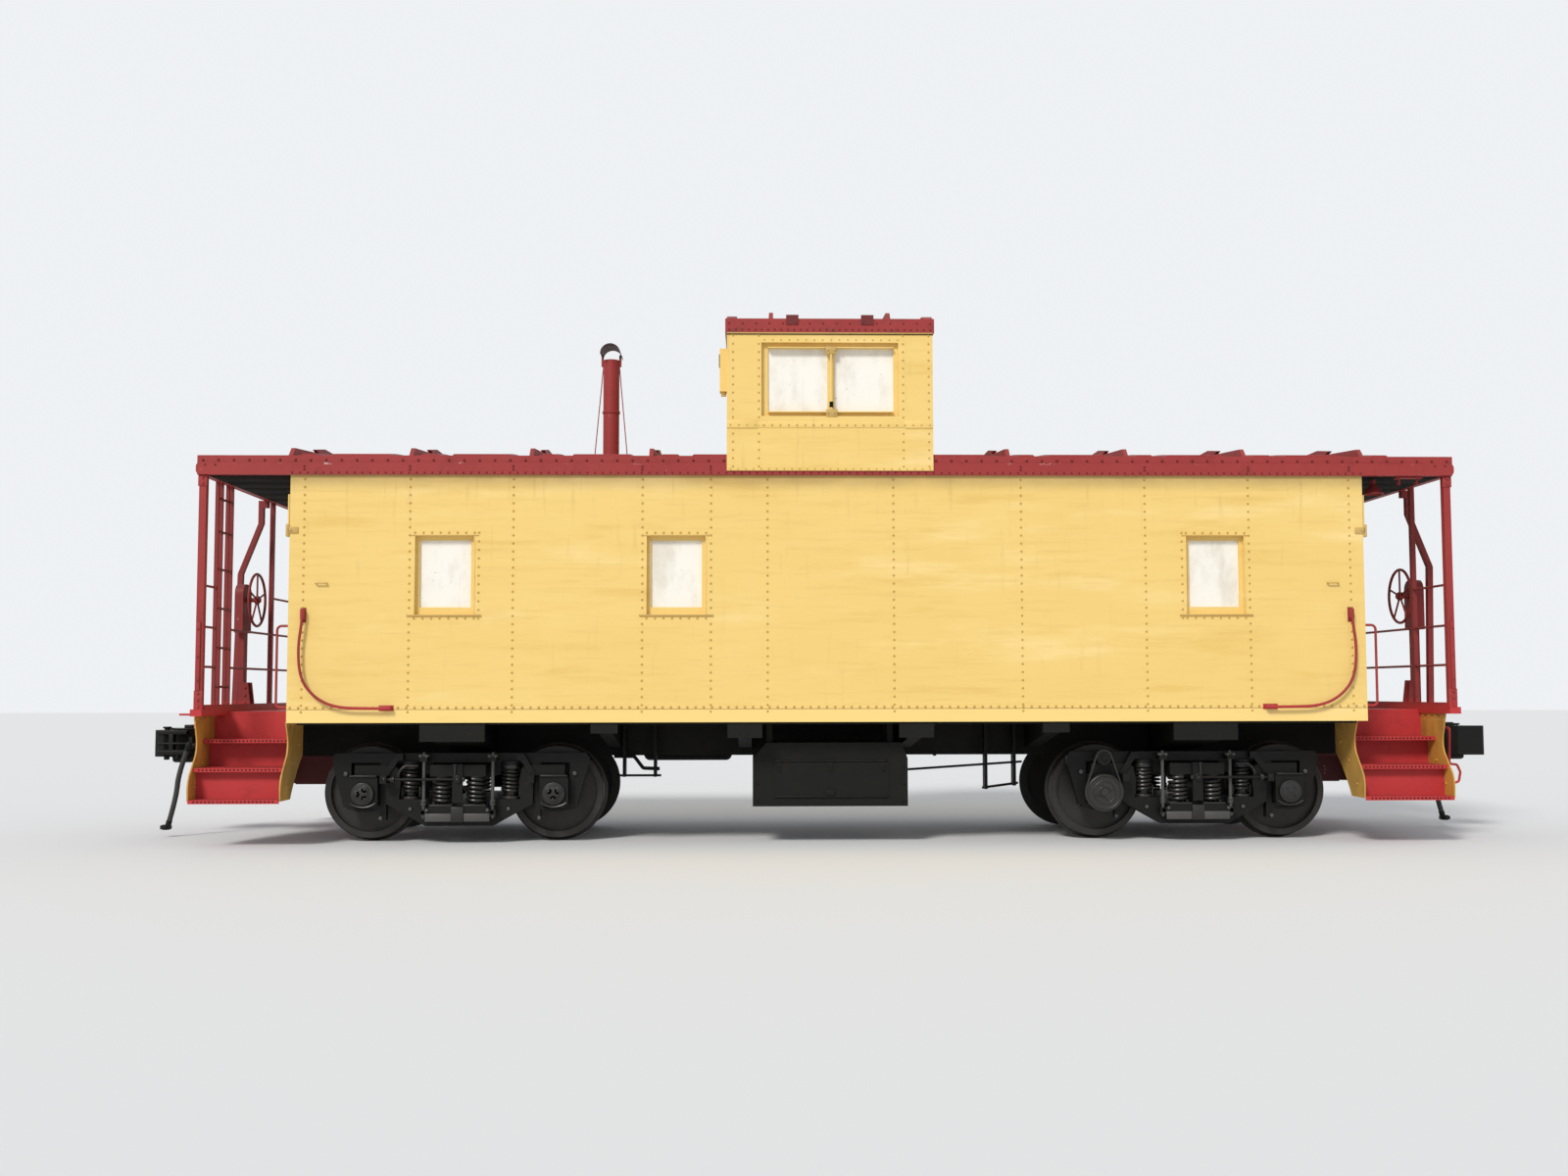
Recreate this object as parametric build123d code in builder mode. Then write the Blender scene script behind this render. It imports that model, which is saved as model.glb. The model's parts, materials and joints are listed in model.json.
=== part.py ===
from build123d import *
import math
import os

os.makedirs("parts", exist_ok=True)

# A steel railway caboose with a cupola, two end platforms and two four-wheel trucks.
# Millimetres. +X runs along the car, -Y is the side seen in the photograph, +Z is up.
# The origin lies on the floor plane under the middle of the car, at the wheel flanges' lowest points.

# Wheels and track
flange_depth = 25.4
tread_diameter = 838
wheel_back_to_back = 1353
rim_width = 140
rim_thickness = 60
web_thickness = 26
hub_diameter = 250
hub_length = 178
axle_diameter = 150
journal_diameter = 127
journal_spacing = 1930
axle_height = tread_diameter / 2 + flange_depth

# Car body
body_length = 9460
body_width = 2920
wall = 70
sheet_bottom = 1080
sheet_top = 3250
floor_top = 1173
floor_thickness = 53
half_length = body_length / 2
half_width = body_width / 2
inside_half_width = half_width - wall
inside_half_length = half_length - wall

# Roof
roof_length = 11080
roof_end_beam = 80
roof_half_width = half_width + 28
eave_height = 107
eave_width = 48
roof_rise = 122
roof_sheet = 46
fascia_overrun = 8
fascia_radius = 38
ceiling_thickness = 10
rib_count = 10
rib_thickness = 36
rib_height = 49
saddle_half_width = 735
saddle_flat_half_width = 440
saddle_root_half_width = 560
panel_raise = 14
panel_sunk = 10
fascia_top = sheet_top + eave_height
roof_flange = 62
roof_edge_z = fascia_top + roof_flange
rib_pitch = body_length / (rib_count - 1)

# Cupola
cupola_length = 1822
cupola_half_width = roof_half_width + 12
cupola_bottom = 3286
cupola_eave = 4515
cupola_fascia = 124
cupola_roof_overhang = 14
cupola_rise = roof_rise

# Side windows: centre along the car on the near side, repeated half a turn round on the far side
window_centres = (-3380, -1355, 3406)
window_width = 520
window_height = 692
window_sill = 2021
window_lip = 36
window_sill_lip = 66
window_lip_thickness = 20
board_overlap = 14
board_thickness = 16

# Trucks
truck_spacing = 6600
truck_wheelbase = 1690

# Platforms and steps
platform_half_width = 800
deck_thickness = 33
beam_inner = 5460
post_foot = 1200
post_head = sheet_top
step_outer_x = 5533
step_inner_x = 4738
step_plate = 12
coupler_height = 866.4


def save(piece, name):
    piece.part.label = name
    export_step(piece.part, f"parts/{name}.step")


def slab(x, y, z, mode=Mode.ADD):
    """A block between two corners, each side given as (low, high)."""
    centre = [(low + high) / 2 for low, high in (x, y, z)]
    sides = [high - low for low, high in (x, y, z)]
    with Locations(tuple(centre)):
        Box(*sides, mode=mode)


def bar_along(start, end, radius):
    """A round bar between two points."""
    run = Vector(*end) - Vector(*start)
    with BuildSketch(Plane(origin=start, z_dir=run)) as section:
        Circle(radius)
    extrude(section.sketch, amount=run.length)


def bent_bar(points, bend, radius):
    """A round bar bent along a route of straight runs and arcs."""
    with BuildLine() as route:
        FilletPolyline(*points, radius=bend)
    with BuildSketch(Plane(origin=route.line @ 0, z_dir=route.line % 0)) as section:
        Circle(radius)
    sweep(section.sketch, path=route.line)


# Pieces of one body that only rest on each other stand this far apart
seat_gap = 0.3

# Wheelsets: one axle with its two wheels each, turning together
tread_radius = tread_diameter / 2
flange_radius = tread_radius + flange_depth
wheel_back = wheel_back_to_back / 2
wheel_front = wheel_back + rim_width
journal_end = journal_spacing / 2 + 105
flange_width = 32
tread_taper = 4
web_back = wheel_back + 74
web_front = web_back + web_thickness
hub_back = wheel_back - 12
hub_front = hub_back + hub_length

wheel_profile = [
    (0, 0),
    (axle_diameter / 2, 0),
    (axle_diameter / 2, hub_back),
    (hub_diameter / 2, hub_back),
    (hub_diameter / 2, web_back - 8),
    (tread_radius - rim_thickness, web_back - 20),
    (tread_radius - rim_thickness, wheel_back),
    (flange_radius - 8, wheel_back),
    (flange_radius, wheel_back + 10),
    (flange_radius - 3, wheel_back + 20),
    (tread_radius + tread_taper, wheel_back + flange_width),
    (tread_radius - tread_taper, wheel_front - 6),
    (tread_radius - 10, wheel_front),
    (tread_radius - rim_thickness, wheel_front),
    (tread_radius - rim_thickness, web_front - 6),
    (hub_diameter / 2, web_front + 10),
    (hub_diameter / 2, hub_front),
    (journal_diameter / 2, hub_front),
    (journal_diameter / 2, journal_end),
    (0, journal_end),
]
pulley_wheelset = "wheelset_b_inner"
pulley_radius = 160
pulley_near = 1138
pulley_far = 1186
pulley_steps = (
    # distance from the car's middle at each end, radius
    (journal_end - 20, pulley_far + 14, 34),
    (pulley_near, pulley_near + 12, pulley_radius),
    (pulley_near + 12, pulley_far - 12, pulley_radius - 10),
    (pulley_far - 12, pulley_far, pulley_radius),
)
wheelset_places = {}
for truck, truck_x in (("a", -truck_spacing / 2), ("b", truck_spacing / 2)):
    for side in (-1, 1):
        place = "outer" if side * truck_x > 0 else "inner"
        wheelset_places[f"wheelset_{truck}_{place}"] = truck_x + side * truck_wheelbase / 2

for name, axle_x in wheelset_places.items():
    with BuildPart() as wheelset:
        with BuildSketch(Plane.XY.offset(axle_height)):
            with Locations((axle_x, 0)):
                Polygon(*wheel_profile, align=None)
        revolve(axis=Axis((axle_x, 0, axle_height), (0, 1, 0)))
        mirror(about=Plane.XZ)
        if name == pulley_wheelset:
            for low, high, radius in pulley_steps:
                with Locations(Location((axle_x, -(low + high) / 2, axle_height), (90, 0, 0))):
                    Cylinder(radius, high - low)
    save(wheelset, name)

shoe_side = 757
beam_x = 352

# Trucks: a pedestal frame on paired equaliser bars, with the bolster on coil springs
# that stand on a plank hung from the frame by swing hangers
side_centre = journal_spacing / 2
frame_web = 80
frame_bottom = 716
frame_top = 800
frame_half_length = 1140
jaw_half_width = 130
jaw_clearance = 3
inner_leg_width = 54
outer_leg_width = 70
inner_leg_bottom = 205
outer_leg_bottom = 322
transom_x = 305
transom_half_width = 45
transom_bottom = 612
transom_top = 700
bar_thickness = 34
bar_gap = 4
bar_drop_bottom = 155
bar_seat_z = 391
bar_arm_bottom = 603
bar_arm_top = 695
box_half_width = jaw_half_width - jaw_clearance
box_half_length = 128
box_bottom = 330
equaliser_spring_x = 445
equaliser_spring_radius = 86
spring_x = 150
spring_side = 1048
spring_radius = 90
plank_half_length = 262
plank_top = 333
plank_bottom = 196
plank_thickness = 26
bolster_half_width = 200
bolster_bottom = 600
bolster_top = 700
hanger_x = 305
hanger_side = 1112
hanger_radius = 14
hanger_top = 775
hanger_bottom = 262
plank_end = 1150
centre_plate_radius = 165
centre_plate_top = 742
guide_half_width = 46
anchor_side = 1166
anchor_z = 574
anchor_reach = 634
anchor_radius = 12
anchor_plate_side = 1050


def side_profile(points, thickness, centre):
    """An upright plate drawn in XZ, spread about a distance from the truck's middle, on both sides."""
    with BuildSketch(Plane.XZ.offset(centre - thickness / 2)) as outline:
        Polygon(*points, align=None)
    extrude(outline.sketch, amount=thickness)


def coil_profile(radius, low, high, turns, wire):
    """Half the outline of a coil spring, as rings about a slim core, drawn in XZ."""
    pitch = (high - low) / turns
    outline = [(radius - wire, low)]
    for turn in range(turns):
        base = low + turn * pitch
        outline += [
            (radius - 4, base + 1),
            (radius, base + wire / 2),
            (radius - 4, base + wire - 1),
            (radius - wire, base + wire + 2),
            (radius - wire, base + pitch - 1),
        ]
    outline += [(radius - wire, high), (radius - wire - 14, high), (radius - wire - 14, low)]
    return outline


def place_truck(piece, name, spots=(("a", 180, -1), ("b", 0, 1))):
    """Sets a truck piece, drawn about its own centre, under both ends of the car."""
    for truck, turn, side in spots:
        with BuildPart() as placed:
            with Locations(Location((side * truck_spacing / 2, 0, 0), (0, 0, turn))):
                add(piece.part)
        save(placed, f"{name}_{truck}")


half_base = truck_wheelbase / 2
jaw_outer = half_base + jaw_half_width
jaw_inner = half_base - jaw_half_width
frame_outline = [
    (0, frame_top),
    (frame_half_length - 20, frame_top),
    (frame_half_length, frame_top - 40),
    (frame_half_length, frame_bottom - 20),
    (jaw_outer + outer_leg_width, outer_leg_bottom + 20),
    (jaw_outer + outer_leg_width, outer_leg_bottom),
    (jaw_outer, outer_leg_bottom),
    (jaw_outer, frame_bottom),
    (jaw_inner, frame_bottom),
    (jaw_inner, inner_leg_bottom),
    (jaw_inner - inner_leg_width, inner_leg_bottom),
    (jaw_inner - inner_leg_width, frame_bottom - 40),
    (jaw_inner - inner_leg_width - 40, frame_bottom),
    (0, frame_bottom),
]
with BuildPart() as truck_frame:
    side_profile(frame_outline, frame_web, side_centre)
    with Locations((equaliser_spring_x, -side_centre, frame_bottom - 2)):
        Cylinder(equaliser_spring_radius + 6, 28)
    with BuildSketch(Plane.XZ.offset(side_centre - frame_web / 2)):
        with BuildLine():
            Polyline(
                (jaw_outer + 40, outer_leg_bottom + 8),
                (jaw_outer - 6, outer_leg_bottom + 4),
                (half_base + 60, outer_leg_bottom - 20),
                (half_base - 60, outer_leg_bottom - 20),
                (jaw_inner + 6, outer_leg_bottom + 4),
                (jaw_inner - 20, outer_leg_bottom + 8),
                (jaw_inner - 20, outer_leg_bottom - 16),
                (half_base - 60, outer_leg_bottom - 44),
                (half_base + 60, outer_leg_bottom - 44),
                (jaw_outer + 40, outer_leg_bottom - 16),
                close=True,
            )
        make_face()
    extrude(amount=frame_web)
    slab(
        (hanger_x - 32, hanger_x + 32),
        (-hanger_side - 34, -side_centre),
        (hanger_top - 40, hanger_top),
    )
    with Locations((hanger_x, -hanger_side, hanger_top - 20)):
        Cylinder(hanger_radius + 0.3, 60, mode=Mode.SUBTRACT)
    slab(
        (anchor_reach - 130, anchor_reach - 60),
        (-anchor_plate_side - 14, -side_centre),
        (frame_top - 60, frame_top),
    )
    with BuildSketch(Plane.XZ.offset(anchor_plate_side)):
        Polygon(
            (anchor_reach - 130, frame_top - 10),
            (anchor_reach - 60, frame_top - 10),
            (anchor_reach + 46, anchor_z + 40),
            (anchor_reach + 46, anchor_z - 34),
            (anchor_reach - 12, anchor_z - 34),
            (anchor_reach - 12, anchor_z + 50),
            align=None,
        )
    extrude(amount=14)
    slab(
        (anchor_reach - 12, anchor_reach + 46),
        (-anchor_side - 24, -anchor_plate_side),
        (anchor_z - 34, anchor_z + 34),
    )
    slab(
        (anchor_reach - 13, anchor_reach + 6),
        (-anchor_side - anchor_radius - 2, -anchor_side + anchor_radius + 2),
        (anchor_z - anchor_radius - 2, anchor_z + anchor_radius + 2),
        mode=Mode.SUBTRACT,
    )
    mirror(about=Plane.YZ)
    mirror(about=Plane.XZ)
place_truck(truck_frame, "truck_frame")

with BuildPart() as transoms:
    slab(
        (transom_x - transom_half_width, transom_x + transom_half_width),
        (-side_centre + frame_web / 2, 0),
        (transom_bottom, transom_top),
    )
    slab(
        (transom_x - transom_half_width, transom_x + transom_half_width),
        (-side_centre + frame_web / 2, -side_centre + frame_web / 2 + 60),
        (transom_bottom, frame_top),
    )
    slab(
        (beam_x - 30, beam_x + 20),
        (-shoe_side - 16, -shoe_side + 16),
        (transom_bottom, transom_top),
    )
    mirror(about=Plane.YZ)
    mirror(about=Plane.XZ)
place_truck(transoms, "truck_transoms")

bar_outline = [
    (0, bar_drop_bottom + 135),
    (plank_half_length + 20, bar_drop_bottom + 135),
    (plank_half_length + 60, bar_seat_z),
    (equaliser_spring_x + 95, bar_seat_z),
    (jaw_inner - inner_leg_width - 135, bar_arm_bottom - 60),
    (jaw_inner - inner_leg_width - 110, bar_arm_top - 30),
    (jaw_inner - inner_leg_width - 60, bar_arm_top),
    (half_base + 90, bar_arm_top),
    (half_base + 90, bar_arm_bottom),
    (jaw_inner - inner_leg_width + 10, bar_arm_bottom),
    (jaw_inner - inner_leg_width - 6, bar_arm_bottom - 40),
    (jaw_inner - inner_leg_width - 10, 350),
    (plank_half_length + 40, bar_drop_bottom),
    (0, bar_drop_bottom),
]
with BuildPart() as equaliser:
    for offset_side in (-1, 1):
        bar_side = side_centre + offset_side * (frame_web / 2 + bar_gap + bar_thickness / 2)
        side_profile(bar_outline, bar_thickness, bar_side)
    mirror(about=Plane.YZ)
    mirror(about=Plane.XZ)
place_truck(equaliser, "equaliser_bars")

with BuildPart() as axle_boxes:
    with Locations((half_base, -side_centre - 10, (box_bottom + bar_arm_bottom) / 2)):
        Box(2 * box_half_width, 2 * box_half_length, bar_arm_bottom - box_bottom)
    fillet(axle_boxes.edges().filter_by(Axis.Y), 30)
    lid_centre = (half_base, -side_centre - 10 - box_half_length - 10, axle_height)
    with Locations(Location(lid_centre, (90, 0, 0))):
        Cylinder(96, 20)
    with Locations(Location((half_base, -side_centre, axle_height), (90, 0, 0))):
        Cylinder(journal_diameter / 2 + 0.3, 2 * (journal_end - side_centre) + 1, mode=Mode.SUBTRACT)
    slab(
        (half_base - 70, half_base + 70),
        (-side_centre + box_half_length - 60, -side_centre + box_half_length),
        (axle_height - 70, axle_height + 70),
        mode=Mode.SUBTRACT,
    )
    mirror(about=Plane.YZ)
    mirror(about=Plane.XZ)
with BuildPart() as bored_boxes:
    add(axle_boxes.part)
    with Locations(Location((-half_base, -side_centre - 10 - box_half_length, axle_height), (90, 0, 0))):
        Cylinder(pulley_steps[0][2] + 0.3, 80, mode=Mode.SUBTRACT)
place_truck(axle_boxes, "axle_boxes", (("a", 180, -1),))
place_truck(bored_boxes, "axle_boxes", (("b", 0, 1),))

spring_seat = bar_seat_z + 16
spring_cap = frame_bottom - 16
with BuildPart() as springs:
    with BuildSketch(Plane.XZ.offset(side_centre)):
        with Locations((equaliser_spring_x, 0)):
            Polygon(*coil_profile(equaliser_spring_radius, spring_seat, spring_cap, 5, 30), align=None)
    revolve(axis=Axis((equaliser_spring_x, -side_centre, 0), (0, 0, 1)))
    with Locations((equaliser_spring_x, -side_centre, (bar_seat_z + spring_seat) / 2)):
        Cylinder(equaliser_spring_radius + 10, spring_seat - bar_seat_z)
    with BuildSketch(Plane.XZ.offset(spring_side)):
        with Locations((spring_x, 0)):
            Polygon(*coil_profile(spring_radius, plank_top, bolster_bottom, 5, 32), align=None)
    revolve(axis=Axis((spring_x, -spring_side, 0), (0, 0, 1)))
    mirror(about=Plane.YZ)
    mirror(about=Plane.XZ)
place_truck(springs, "truck_springs")

with BuildPart() as plank:
    slab((-plank_half_length, plank_half_length), (-plank_end, 0), (plank_top - plank_thickness, plank_top))
    slab((-plank_half_length, plank_half_length), (-plank_end, -plank_end + 22), (plank_bottom, plank_top))
    slab(
        (-hanger_x - 34, hanger_x + 34),
        (-plank_end, -plank_end + 76),
        (hanger_bottom, plank_top - plank_thickness),
    )
    for hanger_end_x in (-hanger_x, hanger_x):
        with Locations((hanger_end_x, -hanger_side, plank_top)):
            Cylinder(hanger_radius + seat_gap, 300, mode=Mode.SUBTRACT)
    mirror(about=Plane.XZ)
place_truck(plank, "swing_plank")

with BuildPart() as hangers:
    for hanger_end_x in (-hanger_x, hanger_x):
        for hanger_end_y in (-hanger_side, hanger_side):
            with Locations((hanger_end_x, hanger_end_y, (hanger_top + hanger_bottom) / 2)):
                Cylinder(hanger_radius, hanger_top - hanger_bottom + 72)
            for nut_z in (hanger_top + 10, hanger_bottom - 11):
                with BuildSketch(Plane.XY.offset(nut_z - 10)):
                    with Locations((hanger_end_x, hanger_end_y)):
                        RegularPolygon(hanger_radius + 12, 6)
                extrude(amount=20 if nut_z > hanger_top else 21)
place_truck(hangers, "swing_hangers")

with BuildPart() as bolster:
    slab((-bolster_half_width - 45, bolster_half_width + 45), (-1140, -940), (bolster_bottom, bolster_top))
    slab((-bolster_half_width, bolster_half_width), (-950, 0), (bolster_bottom - 40, bolster_top))
    with Locations((0, 0, (centre_plate_top + bolster_top) / 2)):
        Cylinder(centre_plate_radius, centre_plate_top - bolster_top)
    slab((-guide_half_width, guide_half_width), (-1160, -1139), (plank_top + 34, bolster_top + 8))
    bar_along((0, -anchor_side, anchor_z), (anchor_reach, -anchor_side, anchor_z), anchor_radius)
    with Locations(Location((0, -anchor_side, anchor_z), (90, 0, 0))):
        Cylinder(30, 44)
    mirror(about=Plane.XZ)
place_truck(bolster, "truck_bolster")

# Brake beams across each truck, with a shoe just off every tread
shoe_gap = 8
shoe_length = 86
shoe_thickness = 44
beam_z = 420
with BuildPart() as brake_beams:
    slab((beam_x - 22, beam_x + 22), (-shoe_side, 0), (beam_z - 26, beam_z + 26))
    with BuildSketch(Plane.XZ.offset(shoe_side - shoe_length / 2)):
        with Locations((half_base, axle_height)):
            Circle(tread_radius + tread_taper + shoe_gap + shoe_thickness)
            Circle(tread_radius + tread_taper + shoe_gap, mode=Mode.SUBTRACT)
        with Locations((0, beam_z)):
            Rectangle(2 * half_base, 260, mode=Mode.INTERSECT)
    extrude(amount=shoe_length)
    bar_along((beam_x, -shoe_side, beam_z + 20), (beam_x, -shoe_side, transom_bottom), 12)
    mirror(about=Plane.YZ)
    mirror(about=Plane.XZ)
place_truck(brake_beams, "brake_beams")

# Generator drive: the upper pulley on its bearing, and the belt round both pulleys
generator_z = 748
generator_radius = 64
belt_gap = 0.4
belt_thickness = 8
drive_x = -half_base
with BuildPart() as generator_drive:
    with BuildSketch(Plane.XZ.offset(side_centre + frame_web / 2)):
        with Locations((drive_x, generator_z)):
            Circle(46)
    extrude(amount=pulley_near - 6 - side_centre - frame_web / 2)
    with Locations(Location((drive_x, -(pulley_near + pulley_far) / 2, generator_z), (90, 0, 0))):
        Cylinder(generator_radius, pulley_far - pulley_near)
    with Locations(Location((drive_x, -(pulley_near + pulley_far) / 2, generator_z), (90, 0, 0))):
        Cylinder(24, pulley_far - pulley_near + 30)
with BuildPart() as placed_drive:
    with Locations((truck_spacing / 2, 0, 0)):
        add(generator_drive.part)
save(placed_drive, "generator_drive")

inner_low = pulley_radius + belt_gap
inner_high = generator_radius + belt_gap
lean = math.asin((inner_low - inner_high) / (generator_z - axle_height))


def belt_outline(low_radius, high_radius):
    """The loop round two pulleys, one above the other."""
    across, up = math.cos(lean), math.sin(lean)
    low_x = low_radius * across
    low_z = axle_height + low_radius * up
    high_x = high_radius * across
    high_z = generator_z + high_radius * up
    with BuildLine() as loop:
        Line((drive_x + low_x, low_z), (drive_x + high_x, high_z))
        ThreePointArc(
            (drive_x + high_x, high_z), (drive_x, generator_z + high_radius), (drive_x - high_x, high_z)
        )
        Line((drive_x - high_x, high_z), (drive_x - low_x, low_z))
        ThreePointArc((drive_x - low_x, low_z), (drive_x, axle_height - low_radius), (drive_x + low_x, low_z))
    return loop.edges()


with BuildPart() as belt:
    with BuildSketch(Plane.XZ.offset(pulley_near + 2)):
        make_face(belt_outline(inner_low + belt_thickness, inner_high + belt_thickness))
        make_face(belt_outline(inner_low, inner_high), mode=Mode.SUBTRACT)
    extrude(amount=pulley_far - pulley_near - 4)
with BuildPart() as placed_belt:
    with Locations((truck_spacing / 2, 0, 0)):
        add(belt.part)
save(placed_belt, "generator_belt")

# Underframe: the centre sill, body bolsters, crossbearers and the plates that end them under the side sheets
sill_half_width = 165
sill_bottom = 742.3
sill_top = floor_top - floor_thickness
sill_web = 22
crossbearer_table = (
    # centre along the car, width of its end plate, low edge of that plate
    (-1980, 233, 984),
    (-752, 304, 942),
    (752, 304, 942),
    (1980, 233, 984),
)
bolster_plate_width = 566
bolster_plate_low = 915
plate_y = half_width - 20
bolster_root = sill_bottom + 26
crossbearer_root = sill_bottom + 60
crossbearer_half_depth = 60
side_sill_inner = inside_half_width - 70
side_sill_bottom = 1060

sill_web_top = sill_top - sill_web - seat_gap
with BuildPart() as centre_sill:
    slab((-beam_inner, beam_inner), (-sill_half_width, sill_half_width), (sill_top - sill_web, sill_top))
    for side in (-1, 1):
        slab(
            (-beam_inner, beam_inner),
            sorted((side * sill_half_width, side * (sill_half_width - sill_web))),
            (sill_bottom, sill_web_top),
        )
    for centre_x in (-truck_spacing / 2, truck_spacing / 2):
        slab(
            (centre_x - centre_plate_radius, centre_x + centre_plate_radius),
            (-sill_half_width + sill_web + seat_gap, sill_half_width - sill_web - seat_gap),
            (sill_bottom, sill_web_top),
        )
save(centre_sill, "centre_sill")


def cross_member(centre_x, side, half_depth, root_low, plate_half_width, plate_low):
    """One arm from the centre sill out to the side sheet, with the plate that closes its end."""
    with BuildSketch(Plane.YZ.offset(centre_x - half_depth)) as outline:
        Polygon(
            (side * sill_half_width, sill_top),
            (side * sill_half_width, root_low),
            (side * inside_half_width, plate_low + 10),
            (side * inside_half_width, side_sill_bottom),
            (side * side_sill_inner, side_sill_bottom),
            (side * side_sill_inner, sill_top),
            align=None,
        )
    extrude(outline.sketch, amount=2 * half_depth)
    slab(
        (centre_x - plate_half_width, centre_x + plate_half_width),
        sorted((side * inside_half_width, side * plate_y)),
        (plate_low, sheet_bottom),
    )


with BuildPart() as body_bolsters:
    for centre_x in (-truck_spacing / 2, truck_spacing / 2):
        for side in (-1, 1):
            cross_member(
                centre_x,
                side,
                bolster_half_width,
                bolster_root,
                bolster_plate_width / 2,
                bolster_plate_low,
            )
save(body_bolsters, "body_bolsters")

with BuildPart() as crossbearers:
    for centre_x, plate_width, plate_low in crossbearer_table:
        for side in (-1, 1):
            cross_member(centre_x, side, crossbearer_half_depth, crossbearer_root, plate_width / 2, plate_low)
save(crossbearers, "crossbearers")

with BuildPart() as side_sills:
    for side in (-1, 1):
        slab(
            (-inside_half_length, inside_half_length),
            sorted((side * side_sill_inner, side * inside_half_width)),
            (side_sill_bottom, sill_top),
        )
save(side_sills, "side_sills")

with BuildPart() as floor:
    slab(
        (-inside_half_length, inside_half_length),
        (-inside_half_width, inside_half_width),
        (sill_top, floor_top),
    )
save(floor, "floor")

# Side walls, with the window openings cut as a deep outer recess and a lip that holds the board
with BuildPart() as side_walls:
    for side in (-1, 1):
        slab(
            (-half_length, half_length),
            sorted((side * inside_half_width, side * half_width)),
            (sheet_bottom, sheet_top),
        )
        for centre in window_centres:
            middle = -side * centre
            slab(
                (middle - window_width / 2, middle + window_width / 2),
                sorted((side * (inside_half_width + window_lip_thickness), side * (half_width + 1))),
                (window_sill, window_sill + window_height),
                mode=Mode.SUBTRACT,
            )
            slab(
                (middle - window_width / 2 + window_lip, middle + window_width / 2 - window_lip),
                sorted((side * (inside_half_width - 1), side * (half_width + 1))),
                (window_sill + window_sill_lip, window_sill + window_height - window_lip),
                mode=Mode.SUBTRACT,
            )
save(side_walls, "side_walls")

with BuildPart() as window_boards:
    for side in (-1, 1):
        for centre in window_centres:
            middle = -side * centre
            reach = window_width / 2 - window_lip + board_overlap
            slab(
                (middle - reach, middle + reach),
                sorted((side * (inside_half_width - board_thickness), side * inside_half_width)),
                (
                    window_sill + window_sill_lip - board_overlap,
                    window_sill + window_height - window_lip + board_overlap,
                ),
            )
save(window_boards, "window_boards")

# End walls under the arched roof, each with a door opening that reaches down to the floor
door_width = 740
door_height = 1930
door_gap = 8
door_hinge_radius = 8
door_thickness = 44
ceiling_rise = roof_rise


def arch_outline(half_span, low, edge_z, rise):
    """A flat-bottomed outline with an arched top, drawn in YZ."""
    with BuildLine() as outline:
        Polyline((-half_span, edge_z), (-half_span, low), (half_span, low), (half_span, edge_z))
        ThreePointArc((half_span, edge_z), (0, edge_z + rise), (-half_span, edge_z))
    make_face(outline.edges())


def arch_z(half_span, edge_z, rise, y):
    """Height of a circular arch at a distance from the car's middle."""
    radius = (half_span**2 + rise**2) / (2 * rise)
    return edge_z + rise - radius + math.sqrt(radius**2 - y**2)


shell_inner_edge = roof_edge_z - roof_sheet
wall_top_half = inside_half_width
wall_top_edge = arch_z(roof_half_width - eave_width, shell_inner_edge, ceiling_rise, wall_top_half)

with BuildPart() as end_walls:
    for side in (-1, 1):
        with BuildSketch(Plane.YZ.offset(side * inside_half_length)):
            arch_outline(
                wall_top_half,
                sill_top,
                wall_top_edge,
                shell_inner_edge + ceiling_rise - wall_top_edge,
            )
        extrude(amount=side * wall)
        slab(
            sorted((side * (inside_half_length - 1), side * (half_length + 1))),
            (-door_width / 2 - door_gap, door_width / 2 + door_gap),
            (floor_top, floor_top + door_height + 2 * door_gap),
            mode=Mode.SUBTRACT,
        )
save(end_walls, "end_walls")

# Main roof: an arched sheet with raised panels, seam ribs that stand up at the eaves,
# walkway saddles at the crown and an angle along each eave
half_roof = roof_length / 2
arch_half = roof_half_width - 12


def roof_shell(half_span, edge_z, rise, sheet, eave, low, length):
    """An arched shell with a solid eave down each side, drawn in YZ and run along the car."""
    with BuildSketch(Plane.YZ.offset(-length / 2)) as outline:
        with BuildLine():
            ThreePointArc((-half_span, edge_z), (0, edge_z + rise), (half_span, edge_z))
            Polyline(
                (half_span, edge_z),
                (half_span, low),
                (half_span - eave, low),
                (half_span - eave, edge_z - sheet),
            )
            ThreePointArc(
                (half_span - eave, edge_z - sheet),
                (0, edge_z - sheet + rise),
                (-half_span + eave, edge_z - sheet),
            )
            Polyline(
                (-half_span + eave, edge_z - sheet),
                (-half_span + eave, low),
                (-half_span, low),
                (-half_span, edge_z),
            )
        make_face()
    extrude(outline.sketch, amount=length)


def arch_rib(centre_x, thickness, half_span, edge_z, rise, height):
    """A rib across an arched roof, with ends that slope up from the eaves."""
    shoulder = half_span - 81
    haunch = 600
    crest = []
    for y, lift in ((-half_span, -2), (-shoulder, 1.3 * height), (-haunch, height - 4), (0, height)):
        crest.append((y, arch_z(half_span, edge_z, rise, y) + lift))
    crest += [(-y, z) for y, z in reversed(crest[:-1])]
    with BuildSketch(Plane.YZ.offset(centre_x - thickness / 2)) as outline:
        with BuildLine():
            Polyline(*crest)
            ThreePointArc(crest[-1], (0, edge_z + rise - 12), crest[0])
        make_face()
    extrude(outline.sketch, amount=thickness)


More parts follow.
